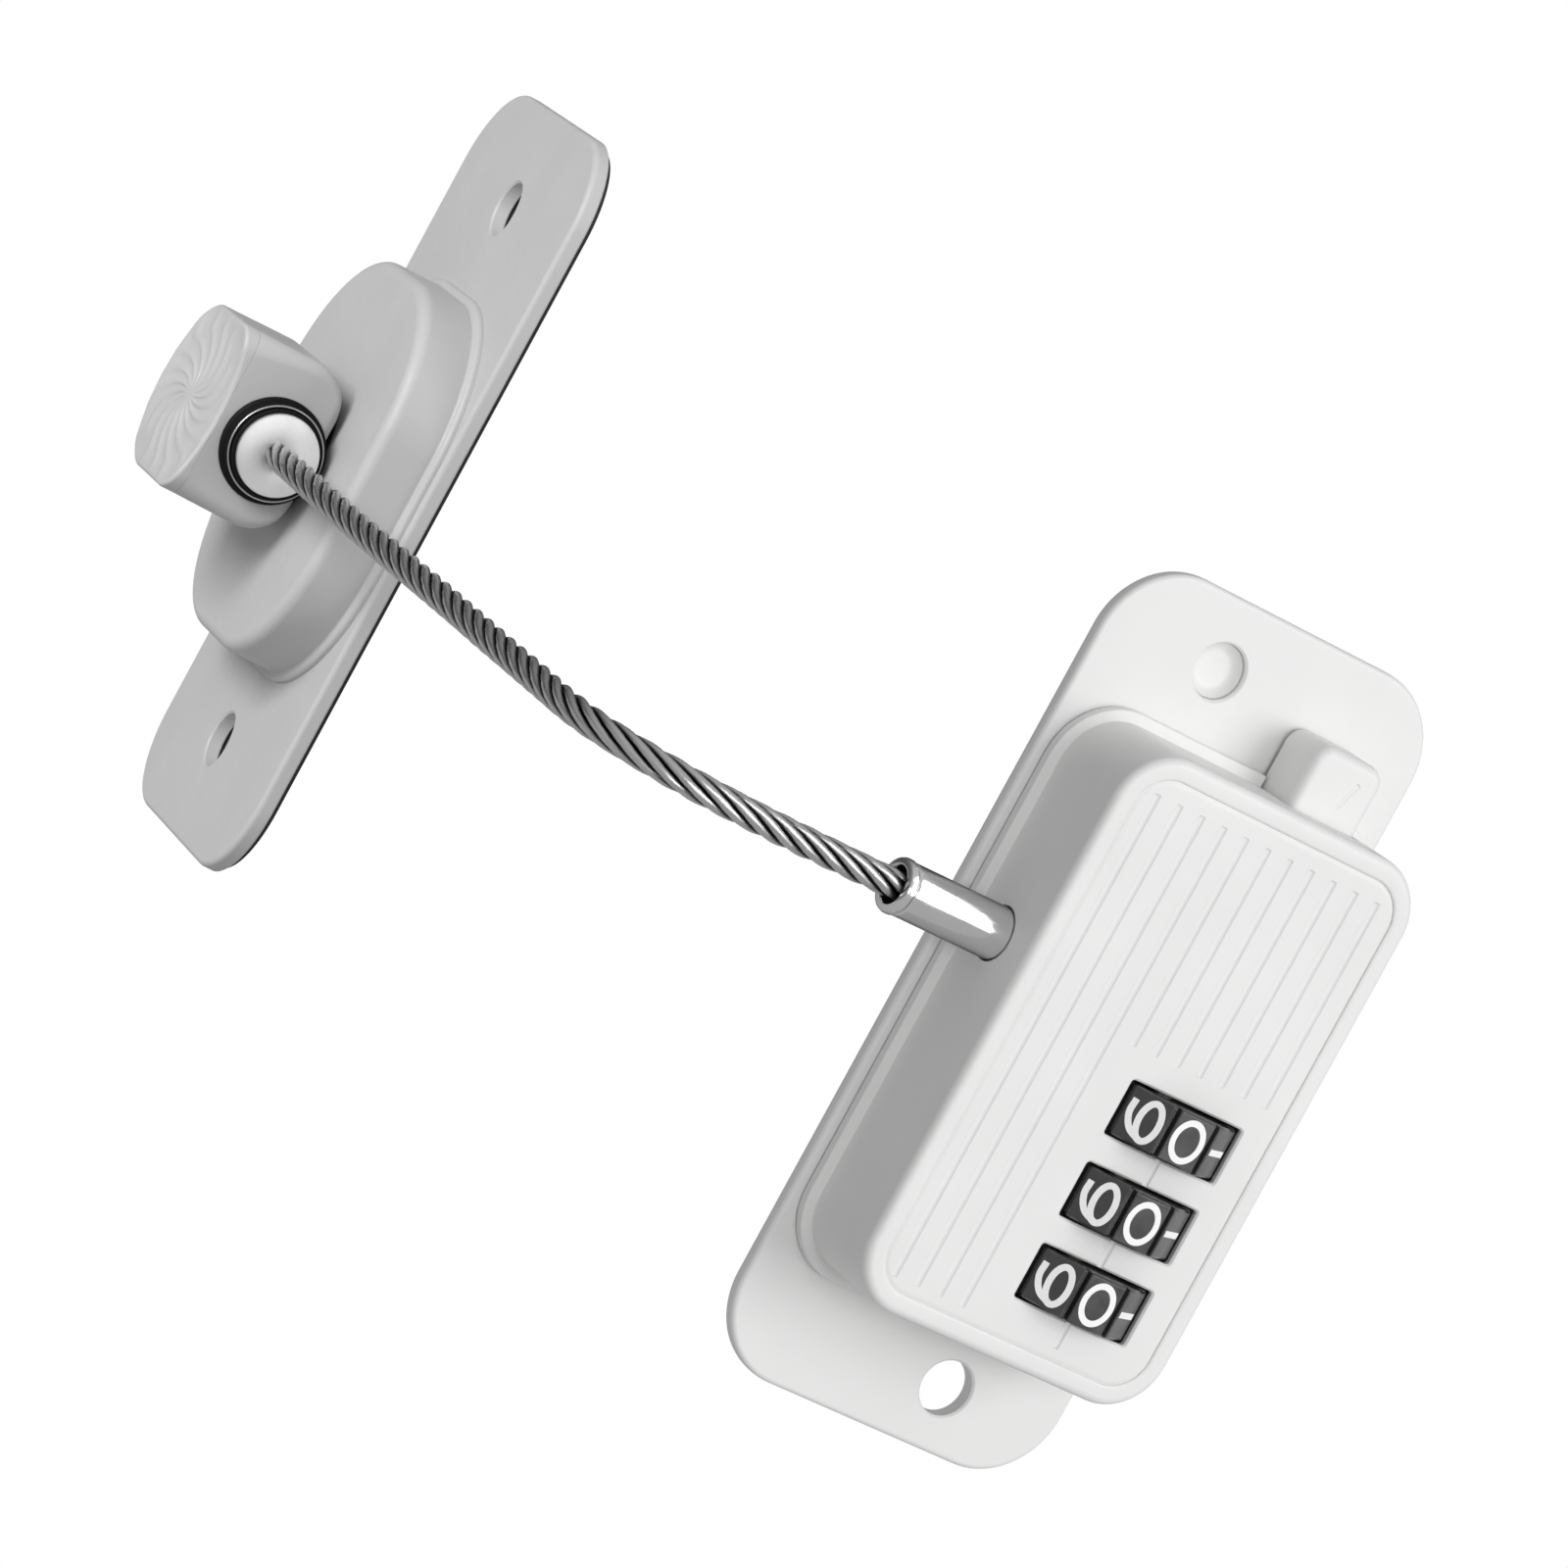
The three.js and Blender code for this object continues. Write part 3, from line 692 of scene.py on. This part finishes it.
def make_housing():
    """The case: a low skirt, walls, and a rim whose inner edge falls away to the face plate."""
    size = (HOUSING.w, HOUSING.h, SKIRT_R, HOUSING.cx, HOUSING.cy)
    inside = SKIRT_OUT + WALL
    profile = [
        (inside, HOUSING.z0),
        (0.15, HOUSING.z0),
        (0, HOUSING.z0 + 0.15),
        *rounded_top(SKIRT_TOP, 0.2),
        *rounded_foot(SKIRT_TOP, 0.12, SKIRT_OUT),
        *rounded_top(HOUSING.z1, CASE_ROUND, SKIRT_OUT, 10),
        (inside - 0.35, HOUSING.z1),
        (inside - 0.15, HOUSING.z1 - 0.04),
        (inside - 0.03, HOUSING.z1 - 0.12),
        (inside, HOUSING.z1 - 0.2),
    ]
    case = plate("lock_case", size, profile, closed=True, steps=16)
    bore = rod(PLUG_R + PLUG_GAP, *PLUG_BORE, "x", (0, PLUG.cy, PLUG.cz))
    slot_x = (BUTTON.cx - BUTTON_SLOT_W / 2, BUTTON.cx + BUTTON_SLOT_W / 2)
    slot = box(slot_x, BUTTON_SLOT_Y, (0, BUTTON_SLOT_TOP))
    settle(cut(case, bore, slot), LOCK, "lock", "lock_paint", ["lock_housing"])


def trough(x, low, high, top, width=0.8, depth=0.16):
    """A cutter for a shallow round-bottomed groove that runs up the plate."""
    radius = (width**2 / 4 + depth**2) / (2 * depth)
    return rod(radius, low, high, "y", (x, 0, top - depth + radius), steps=48)


def make_face():
    """The grooved face plate; a shallow hollow runs round it where it meets the case's rim."""
    size = (FACE.w + 0.34, FACE.h + 0.34, CAVITY_R + 0.02, FACE.cx, FACE.cy)
    top = FACE.z1 - FACE_SINK
    edge = [(0, top - 0.16), (0.1, top - 0.13), (0.3, top - 0.05), (0.55, top)]
    profile = [(0, FACE.z1 - FACE_T), *edge]
    face = plate("lock_face", size, profile, steps=16)
    cutters = []
    for i in range(GROOVES):
        foot = GROOVE_FOOT_LONG if i < LONG_GROOVES else GROOVE_FOOT_SHORT
        cutters.append(trough(GROOVE_LEFT + i * GROOVE_PITCH, foot, GROOVE_TOP, top))
    for dial in DIALS:
        window = (WINDOW_W, WINDOW_H, WINDOW_R, dial.cx, dial.cy)
        undercut = [(-0.8, top - 4), (-0.8, top - 1), (0, top - 0.75)]
        opening = undercut + [(0, top - 0.22), (-0.5, top + 0.28)]
        cutters.append(plate("cutter", window, opening, steps=3))
        sill = dial.cy - WINDOW_H / 2
        cutters.append(trough(dial.cx, sill - 2.9, sill + 0.3, top, width=0.75, depth=0.2))
    settle(cut(face, *cutters), LOCK, "lock", "lock_paint", ["lock_face_plate"])


def make_cap():
    """The cap sits low in the upper fixing hole and is dished."""
    r, rim, floor, slope = HOLE_R - 0.03, 1.5, 0.62, 1.1
    profile = [(r, HOLE_CAP.z0), (r, 1.42), (r - 0.08, rim)]
    for i in range(1, 9):
        t = i / 8
        profile.append((r - 0.08 - t * slope, rim - (rim - floor) * (1 - (1 - t) ** 2)))
    profile.append((0.2, floor - 0.04))
    cap = turned("hole_cap", profile, "z", (HOLE_CAP.cx, HOLE_CAP.cy, 0))
    settle(cap, LOCK, "lock", "cap_plastic", ["screw_hole_cap"], sharp=60)


def make_button():
    """A block, rounder at its free end, with a faint slanting tick moulded into its front."""
    low = BUTTON.y0 + 0.3
    size = (BUTTON_W, BUTTON.y1 - low, (1.9, 1.9, 0.4, 0.4), BUTTON.cx, (BUTTON.y1 + low) / 2)
    profile = [(0.25, BUTTON.z0), (0, BUTTON.z0 + 0.25), *rounded_top(BUTTON_FRONT, 1.0, steps=8)]
    block = plate("push_button", size, profile, steps=14)
    tick = trough(0, -1.6, 1.6, BUTTON_FRONT, width=0.55, depth=0.09)
    slant = Matrix.Rotation(math.radians(TICK_SLANT), 4, "Z")
    tick.data.transform(Matrix.Translation((BUTTON.cx + 1.1, 32.2, 0)) @ slant)
    settle(cut(block, tick), LOCK, "button", "lock_paint", ["release_button"])


def make_spring():
    """The button carries the coil, a copy of the CAD spring that rides with it as one piece."""
    coil = bpy.data.objects.new("return_spring", frame["nodes"]["button_spring"].data.copy())
    bpy.context.collection.objects.link(coil)
    settle(coil, Matrix.Identity(4), "button", "steel", ["button_spring"])
    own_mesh(coil)


# Dials -------------------------------------------------------------------------------------------------

DIAL_R = 8.3
DIAL_W = 5.4
DIAL_BORE = 4.6
DIAL_EDGE = 0.2
FACETS = 10
FLAT_HALF = math.radians(15.4)
FLAT_MIDDLE = DIAL_R * math.cos(FLAT_HALF)
FLAT_EDGE_IN = 0.12
FLAT_EDGE_DOWN = 0.1
FACET_GROOVE_DEPTH = 0.62
FACET_GROOVE_HALF = 0.022  # radians


def dial_profile(inset):
    """The wheel's cross-section: ten flats with a narrow groove between each two."""
    flat = FLAT_MIDDLE - inset
    edge = flat * math.tan(FLAT_HALF)
    shoulder, low = edge - FLAT_EDGE_IN, flat - FLAT_EDGE_DOWN
    across = ((-edge, low), (-shoulder, flat), (0, flat), (shoulder, flat), (edge, low))
    points = []
    for i in range(FACETS):
        middle = math.pi / 2 + 2 * math.pi * i / FACETS
        for along, out in across:
            x = out * math.cos(middle) - along * math.sin(middle)
            y = out * math.sin(middle) + along * math.cos(middle)
            points.append((x, y))
        groove, floor = middle + math.pi / FACETS, flat - FACET_GROOVE_DEPTH
        for angle in (groove - FACET_GROOVE_HALF, groove + FACET_GROOVE_HALF):
            points.append((floor * math.cos(angle), floor * math.sin(angle)))
    return points


DIGIT_W = 4.6
DIGIT_H = 3.9
STROKE = 0.66
DIGIT_LIFT = 0.02
LAYER_LIFT = 0.004  # keeps a digit's crossing strokes apart


def oval(cx, cy, rx, ry, start=0.0, end=360.0, steps=40):
    """Points along an oval in the digit's own square, which runs from 0 to 1 both ways."""
    points = []
    for i in range(steps + 1):
        angle = math.radians(start + (end - start) * i / steps)
        points.append((cx + rx * math.cos(angle), cy + ry * math.sin(angle)))
    return points


def curve(*points):
    """A smooth line through a few points of the digit's square."""
    route = smooth_route([(x, y, 0) for x, y in points], 0.05)
    return [(p.x, p.y) for p in route]


TWO_NECK = curve((0.02, 0.74), (0.25, 0.97), (0.72, 0.97), (0.95, 0.72), (0.7, 0.42), (0.0, 0.0))
SIX = [curve((0.88, 0.97), (0.5, 0.98), (0.16, 0.76), (0.0, 0.32)), oval(0.5, 0.32, 0.5, 0.32)]
FIGURES = [
    [oval(0.5, 0.5, 0.5, 0.5, steps=64)],
    [[(0.5, 0.04), (0.5, 0.96)]],
    [TWO_NECK, [(0, 0), (1, 0)]],
    [oval(0.46, 0.76, 0.46, 0.24, 160, -90), oval(0.48, 0.26, 0.52, 0.26, 90, -160)],
    [[(0.75, 0.0), (0.75, 1.0)], [(0.75, 1.0), (0.0, 0.28)], [(0.0, 0.28), (1.0, 0.28)]],
    [[(0.92, 1.0), (0.14, 1.0)], [(0.14, 1.0), (0.08, 0.56)], oval(0.46, 0.31, 0.54, 0.31, 135, -150)],
    SIX,
    [[(0.0, 1.0), (1.0, 1.0)], [(1.0, 1.0), (0.38, 0.0)]],
    [oval(0.5, 0.76, 0.43, 0.24), oval(0.5, 0.26, 0.5, 0.26)],
    [[(1 - x, 1 - y) for x, y in line] for line in SIX],
]


def brush(line, lift):
    """A painted stroke of even width along a line of the digit's square."""
    width, height = DIGIT_W - STROKE, DIGIT_H - STROKE
    points = [Vector(((x - 0.5) * width, (y - 0.5) * height)) for x, y in line]
    closed = (points[0] - points[-1]).length < 0.01
    last = len(points) - 1
    vertices = []
    for i, point in enumerate(points):
        before = points[i - 1] if i else (points[last - 1] if closed else point)
        after = points[i + 1] if i < last else (points[1] if closed else point)
        along = (after - before).normalized()
        if not closed and i in (0, last) and last == 1:
            point = point + along * (STROKE / 2 if i else -STROKE / 2)
        side = Vector((-along.y, along.x)) * STROKE / 2
        for edge in (point + side, point - side):
            vertices.append((edge.x, edge.y, lift))
    faces = [(2 * i + 1, 2 * i + 3, 2 * i + 2, 2 * i) for i in range(last)]
    return vertices, faces


def make_dial(index, dial):
    """A wheel with its digits. They stand across the window, and the one in its middle is a nought."""
    half, edge = DIAL_W / 2, DIAL_EDGE
    outer = dial_profile(0)
    rings = []
    for inset, y in ((edge, -half), (0, -half + edge), (0, half - edge), (edge, half)):
        rings.append([(x, y, -z) for x, z in dial_profile(inset)])
    for y in (half, -half):
        angles = [math.atan2(z, x) for x, z in outer]
        rings.append([(DIAL_BORE * math.cos(a), y, -DIAL_BORE * math.sin(a)) for a in angles])
    wheel = lofted(f"dial_{index}_wheel", rings, closed=True)
    middle = Matrix.Translation((dial.cx, dial.cy, dial.cz))
    flip = Matrix.Rotation(math.pi, 4, "Y")
    settle(wheel, LOCK @ middle @ flip, f"dial_{index}", "dial_plastic", [f"dial_wheel_{index}"])
    vertices, faces = [], []
    for digit, lines in enumerate(FIGURES):
        phi = 2 * math.pi * digit / FACETS
        normal = Vector((math.sin(phi), 0, math.cos(phi)))
        up = Vector((math.cos(phi), 0, -math.sin(phi)))
        right = up.cross(normal)
        stand = Matrix((right, up, normal)).transposed()
        for layer, line in enumerate(lines):
            points, strips = brush(line, FLAT_MIDDLE + DIGIT_LIFT + LAYER_LIFT * layer)
            start = len(vertices)
            vertices += [stand @ Vector(point) for point in points]
            faces += [tuple(start + corner for corner in strip) for strip in strips]
    figures = new_object(f"dial_{index}_digits", vertices, faces)
    settle(figures, LOCK @ middle, f"dial_{index}", "dial_plastic", material=DIGIT_PAINT)


# Plug --------------------------------------------------------------------------------------------------


def make_plug():
    """A chromed ferrule: open at the cable's end, with a rolled collar, and necked at its inner end."""
    end, shoulder, tip = PLUG.x0, -1.2, 6.0
    bore = CABLE_D / MM / 2 + 0.32
    neck, head = 1.7, 2.2
    profile = [
        (0.05, end + 5.6),
        (bore, end + 5.6),
        (bore, end + 0.35),
        (bore + 0.25, end),
        (PLUG_R - 0.25, end),
        (PLUG_R + 0.02, end + 0.12),
        (PLUG_R + 0.12, end + 0.4),
        (PLUG_R + 0.12, end + 0.8),
        (PLUG_R - 0.05, end + 1.0),
        (PLUG_R - 0.16, end + 1.12),
        (PLUG_R - 0.05, end + 1.26),
        (PLUG_R, end + 1.45),
        (PLUG_R, shoulder - 0.5),
        (PLUG_R - 0.5, shoulder),
        (neck, shoulder),
        (neck, 2.2),
        (head, 2.8),
        (head, 4.8),
        (1.2, tip),
        (0.05, tip),
    ]
    plug = turned("chrome_ferrule", profile, "x", (0, PLUG.cy, PLUG.cz), steps=96)
    settle(plug, LOCK, "cable", "chrome", ["cable_plug"], sharp=40)
    return plug


# Bracket -----------------------------------------------------------------------------------------------

LEAF = LocalBox("bracket_body", BRACKET)
PAD = LocalBox("bracket_pad", BRACKET)
KNOB = LocalBox("swivel_knob", BRACKET)
RING = LocalBox("socket_ring", BRACKET)
STOP = LocalBox("cable_end_stop", BRACKET)
LEAF_R = 9.2
LEAF_TOP = 2.3
BOSS_W, BOSS_H, BOSS_R = 40.4, 43.2, 15.3
BOSS_ROUND = 1.3
FOOT_OUT = 0.8
FOOT_TOP = LEAF_TOP + 0.75
LEAF_HOLE_X = -0.6
LEAF_HOLE_R = 3.05
NUT_POCKET_R = 9
NUT_POCKET_TOP = 6.2
SCREW_HOLE_R = 3.0
SCREW_HEAD_R = 5.3
SCREW_HEAD_SEAT = 19.65
PAD_INSET = 0.45
SOCKET_R = 5.4
SOCKET_SEAT = 6.0
STOP_BORE_R = 4.8
STOP_BORE_FLOOR = 3.7
STOP_R = 4.45


def bracket_holes():
    for name in ("bracket_upper_fixing_hole", "bracket_lower_fixing_hole"):
        yield LEAF_HOLE_X, opening_middle(name, BRACKET).y


def make_bracket():
    """The leaf with its raised boss, which stands on a low foot, and the nut's pocket behind."""
    size = (LEAF.w, LEAF.h, LEAF_R, LEAF.cx, LEAF.cy)
    profile = [(0.15, LEAF.z0), (0, LEAF.z0 + 0.15), *rounded_top(LEAF_TOP, 0.6)]
    leaf = plate("bracket_plate", size, profile, steps=20)
    boss_profile = [
        (-FOOT_OUT, LEAF.z0 + 0.3),
        (-FOOT_OUT, LEAF_TOP + 0.1),
        *rounded_top(FOOT_TOP, 0.5, -FOOT_OUT, 5),
        *rounded_foot(FOOT_TOP, 0.3, 0, 4),
        *rounded_top(LEAF.z1, BOSS_ROUND, 0, 12),
    ]
    unite(leaf, plate("boss", (BOSS_W, BOSS_H, BOSS_R), boss_profile, steps=28))
    holes = [through_hole(x, y, LEAF_HOLE_R, LEAF.z0, LEAF_TOP) for x, y in bracket_holes()]
    pocket = rod(NUT_POCKET_R, -1, NUT_POCKET_TOP)
    shank = rod(SCREW_HOLE_R, 0, 12, steps=40)
    settle(cut(leaf, pocket, shank, *holes), BRACKET, "bracket", "bracket_paint", ["bracket_body"])


def make_pad():
    """The thin dark backing, a little smaller than the leaf."""
    size = (PAD.w - 2 * PAD_INSET, PAD.h - 2 * PAD_INSET, LEAF_R - 0.65, PAD.cx, PAD.cy)
    pad = plate("backing_pad", size, [(0.05, 0), (0, 0.08), (0, PAD.z1)], steps=20)
    holes = [rod(LEAF_HOLE_R, -1, 2, "z", (x, y, 0)) for x, y in bracket_holes()]
    window = rod(NUT_POCKET_R + 0.4, -1, 2)
    settle(cut(pad, window, *holes), BRACKET, "bracket", "pad_rubber", ["bracket_pad"])


KNOB_FOOT_R = 4.6
KNOB_EDGE = 1.2
KNOB_CAP_CORNER = 2.6
KNOB_CAP_MIDDLE = 23.5
KNOB_CAP_EDGE = 0.5
KNOB_CAP_LEAN = 0.2
FAN_RIBS = 16
FAN_R = 7.5
FAN_SWEEP = 0.8  # radians
FAN_DEPTH = 0.2


def knob_section(z):
    """Width, height and corner radius of the knob's block at a height above the bracket's back."""
    above = z - KNOB.z0
    end_in = KNOB_FOOT_R - math.sqrt(KNOB_FOOT_R**2 - max(0.0, KNOB_FOOT_R - above) ** 2)
    side_in = KNOB_EDGE - math.sqrt(KNOB_EDGE**2 - max(0.0, KNOB_EDGE - above) ** 2)
    share = min(1.0, above / (KNOB.z1 - KNOB.z0))
    corner_r = KNOB_EDGE + (KNOB_CAP_CORNER - KNOB_EDGE) * share**2
    return KNOB.w - 2 * side_in, KNOB.h - 2 * end_in, corner_r


def make_knob():
    """A block lying across the boss, with large rounds beside the boss and a socket for the cable."""
    foot = [KNOB.z0 + KNOB_FOOT_R * (1 - math.cos(math.pi / 2 * i / 14)) for i in range(15)]
    body = [KNOB.z0 + KNOB_FOOT_R + (KNOB.z1 - KNOB.z0 - KNOB_FOOT_R) * i / 8 for i in range(1, 9)]
    rings = []
    for z in foot + body:
        w, h, r = knob_section(z)
        rings.append([(x, y, z) for x, y in outline(w, h, r, KNOB.cx, KNOB.cy, steps=10)])
    knob = lofted("knob_block", rings)
    at, mouth = (0, STOP.cy, STOP.cz), KNOB.x1
    socket = [(SOCKET_R, SOCKET_SEAT), (SOCKET_R, mouth - 0.3), (SOCKET_R + 0.8, mouth + 0.5)]
    recess = turned("cutter", socket, "x", at, steps=96)
    bore = rod(STOP_BORE_R, STOP_BORE_FLOOR, 20, "x", at)
    screw = rod(SCREW_HOLE_R, 0, 30)
    head = rod(SCREW_HEAD_R, SCREW_HEAD_SEAT, 30)
    settle(cut(knob, recess, bore, screw, head), BRACKET, "knob", "bracket_paint", ["swivel_knob"])


def cap_reach(angle):
    """Distance from the middle of the knob's end to its rounded outline."""
    cx, cy = KNOB.w / 2 - KNOB_CAP_CORNER, KNOB.h / 2 - KNOB_CAP_CORNER
    dx, dy = abs(math.cos(angle)), abs(math.sin(angle))
    straight = min(KNOB.w / 2 / max(dx, 1e-9), KNOB.h / 2 / max(dy, 1e-9))
    if straight * dx > cx and straight * dy > cy:
        b = cx * dx + cy * dy
        return b + math.sqrt(max(0.0, b * b - (cx * cx + cy * cy - KNOB_CAP_CORNER**2)))
    return straight


def cap_lean(x, y):
    """How much the end's surface rises: most at the middle of the side away from the socket."""
    return -KNOB_CAP_LEAN * x * max(0.0, 1 - (y / (KNOB.h / 2)) ** 2)


def fan_dip(angle, r, far):
    """How deep the surface lies between the ribs, which sweep round and fade at the middle and the rim."""
    share = min(1.0, r / FAN_R)
    crest = 0.5 + 0.5 * math.cos(FAN_RIBS * (angle - FAN_SWEEP * share**1.3))
    fade = min(1.0, max(0.0, (share - 0.06) / 0.25)) * min(1.0, max(0.0, (far - r) / 2.0))
    return FAN_DEPTH * (1 - crest**2.5) * fade


def make_knob_cap():
    """The knob's outer end, a little curved and leaning; fine curved ribs fan out from its middle."""
    turns, loops_in, edge_loops = 320, 40, 8
    base = KNOB.z1 + 0.002
    angles = [2 * math.pi * i / turns for i in range(turns)]
    loops = [[(cap_reach(a) * math.cos(a), cap_reach(a) * math.sin(a), base) for a in angles]]
    for i in range(loops_in + 1):
        loop = []
        for a in angles:
            far = cap_reach(a)
            if i <= edge_loops:
                roll = math.pi / 2 * i / edge_loops
                r = far - KNOB_CAP_EDGE * (1 - math.cos(roll))
                drop = KNOB_CAP_EDGE * (1 - math.sin(roll))
            else:
                t = (i - edge_loops) / (loops_in - edge_loops)
                r = (far - KNOB_CAP_EDGE) * (1 - t) + 0.12 * t
                drop = 0.0
            x, y = r * math.cos(a), r * math.sin(a)
            z = KNOB_CAP_MIDDLE + cap_lean(x, y) - drop - fan_dip(a, r, far)
            loop.append((x, y, max(z, base + 0.02)))
        loops.append(loop)
    cap = lofted("knob_fan_cap", loops)
    cap.data.transform(Matrix.Translation((KNOB.cx, KNOB.cy, 0)))
    settle(cap, BRACKET, "knob", "bracket_paint", ["knob_end_cap"], sharp=70)


def make_ring():
    """The dark ring that lines the knob's socket; a bright wire ring sits on its step."""
    inner, outer, face = STOP_R + 0.07, SOCKET_R - 0.2, KNOB.x1
    collar = STOP.cz - LEAF.z1 - 0.03  # just clear of the boss
    step, tube = RING.x1 - 0.05, STOP_R + 0.33
    profile = [
        (inner, RING.x0),
        (outer, RING.x0),
        (outer, face + 0.05),
        (collar, face + 0.05),
        (collar, face + 0.35),
        (collar - 0.2, face + 0.55),
        (outer + 0.05, face + 0.55),
        (outer, face + 0.6),
        (outer, step),
        (tube, step),
        (tube, STOP.x1 - 0.4),
        (tube - 0.08, STOP.x1 - 0.32),
        (inner, STOP.x1 - 0.32),
    ]
    at = (0, STOP.cy, STOP.cz)
    ring = turned("socket_liner", profile, "x", at, closed=True, steps=96)
    settle(ring, BRACKET, "knob", "ring_plastic", ["socket_ring"], sharp=50)
    middle, wire = (outer + tube) / 2 + 0.02, 0.14
    section = []
    for i in range(12):
        angle = 2 * math.pi * i / 12
        section.append((middle + wire * math.cos(angle), step + wire * (1 - math.sin(angle))))
    clip = turned("wire_ring", section, "x", at, closed=True, steps=96)
    settle(clip, BRACKET, "knob", "steel", sharp=60)


def make_stop():
    """The swaged stop on the cable's end; its front is turned flat and dips a little at the cable."""
    bore, back, front = CABLE_D / MM / 2 - 0.3, STOP.x0, STOP.x1
    profile = [
        (0.05, back),
        (STOP_R - 0.2, back),
        (STOP_R, back + 0.2),
        (STOP_R, front - 0.3),
        (STOP_R - 0.08, front - 0.08),
        (STOP_R - 0.3, front),
        (bore + 1.0, front),
        (bore + 0.5, front - 0.06),
        (bore, front - 0.2),
    ]
    stop = turned("cable_stop", profile, "x", (0, STOP.cy, STOP.cz), steps=96)
    settle(stop, BRACKET, "cable", "steel", ["cable_end_stop"], SATIN_ZINC, sharp=40)
    return stop


# Everything --------------------------------------------------------------------------------------------

rope, rope_path, rope_length = make_cable()
ferrule = make_plug()
end_stop = make_stop()
make_base_plate()
make_housing()
make_face()
make_cap()
make_button()
make_spring()
for number, wheel_box in enumerate(DIALS, start=1):
    make_dial(number, wheel_box)
make_bracket()
make_pad()
make_knob()
make_knob_cap()
make_ring()

slots = {entry["node"]: entry["material_slot"] for entry in RECORD["subparts"]}
for node_name, node in frame["nodes"].items():
    node.data.materials.clear()
    node.data.materials.append(MATERIALS[slots[node_name]])

# Studio ------------------------------------------------------------------------------------------------

FLOOR_GAP = 0.004
FLOOR_REACH = 6.0
FLOOR_LIGHT = 0.42
WORLD_BRIGHT_SIDE = (-0.08, -0.7, 0.72)
WORLD_DIM, WORLD_BRIGHT = 0.11, 0.66


def by_ray(tree, lit, seen, output):
    """Shows one shader to the camera and lights the object with the other."""
    path = tree.nodes.new("ShaderNodeLightPath")
    mix = tree.nodes.new("ShaderNodeMixShader")
    link(tree, path, "Is Camera Ray", mix, "Fac")
    tree.links.new(lit.outputs[0], mix.inputs[1])
    tree.links.new(seen.outputs[0], mix.inputs[2])
    tree.links.new(mix.outputs[0], output.inputs["Surface"])


def make_floor():
    """A plain white floor under the lowest point, far wider than the view."""
    low = cad_bounds[0][2] - FLOOR_GAP
    reach = FLOOR_REACH
    corners = [(-reach, -reach, low), (reach, -reach, low), (reach, reach, low), (-reach, reach, low)]
    floor = new_object("floor", corners, [(0, 1, 2, 3)])
    material = bpy.data.materials.new("floor")
    material.use_nodes = True
    tree = material.node_tree
    tree.nodes.clear()
    output = tree.nodes.new("ShaderNodeOutputMaterial")
    seen = tree.nodes.new("ShaderNodeEmission")
    seen.inputs["Strength"].default_value = 1.0
    lit = tree.nodes.new("ShaderNodeEmission")
    lit.inputs["Strength"].default_value = FLOOR_LIGHT
    for shader in (seen, lit):
        shader.inputs["Color"].default_value = (1, 1, 1, 1)
    by_ray(tree, lit, seen, output)
    floor.data.materials.append(material)
    floor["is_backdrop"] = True


def make_world():
    """White to the camera; as light, bright in front of the object and dim behind it."""
    world = bpy.data.worlds.new("studio")
    bpy.context.scene.world = world
    world.use_nodes = True
    tree = world.node_tree
    tree.nodes.clear()
    output = tree.nodes.new("ShaderNodeOutputWorld")
    seen = tree.nodes.new("ShaderNodeBackground")
    seen.inputs["Color"].default_value = (1, 1, 1, 1)
    lit = tree.nodes.new("ShaderNodeBackground")
    coordinates = tree.nodes.new("ShaderNodeTexCoord")
    facing = tree.nodes.new("ShaderNodeVectorMath")
    facing.operation = "DOT_PRODUCT"
    facing.inputs[1].default_value = Vector(WORLD_BRIGHT_SIDE).normalized()
    link(tree, coordinates, "Generated", facing, 0)
    level = spread(tree, facing, "Value", WORLD_DIM, WORLD_BRIGHT, -0.45, 0.65)
    link(tree, level, "Result", lit, "Strength")
    by_ray(tree, lit, seen, output)


def area_light(name, place, target, size, watts):
    """A soft box that the camera doesn't see."""
    data = bpy.data.lights.new(name, "AREA")
    data.shape = "RECTANGLE"
    data.size, data.size_y = size
    data.energy = watts
    light = bpy.data.objects.new(name, data)
    bpy.context.scene.collection.objects.link(light)
    place, target = Vector(place), Vector(target)
    light.location = place
    light.rotation_euler = (target - place).to_track_quat("-Z", "Y").to_euler()
    light.visible_camera = False
    return light


def pieces_of(*bodies):
    """The visible pieces that ride these bodies."""
    return [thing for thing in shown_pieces() if set(body_of(thing) or ()) & set(bodies)]


def light_only(light, things):
    """Keeps a light to these pieces."""
    receivers = bpy.data.collections.new(light.name)
    for thing in things:
        receivers.objects.link(thing)
    light.light_linking.receiver_collection = receivers


make_floor()
make_world()
area_light("key", (0.80, -1.25, 0.15), target=(0, 0, 0), size=(1.0, 1.6), watts=18)
light_only(
    area_light("sash_side", (-0.9, -0.1, 0.35), target=(-0.045, 0.105, 0.008), size=(0.5, 0.5), watts=8),
    pieces_of("bracket", "knob"),
)
light_only(
    area_light("ferrule_side", (0.62, -0.62, 0.78), target=(-0.03, 0, 0), size=(0.9, 0.7), watts=7),
    [ferrule],
)
light_only(
    area_light("front", (-0.25, -1.6, 0.15), target=(-0.02, 0, 0), size=(0.5, 0.7), watts=6.5),
    pieces_of("lock", "button", "cable", "dial_1", "dial_2", "dial_3"),
)

bpy.context.scene.view_settings.view_transform = "Standard"
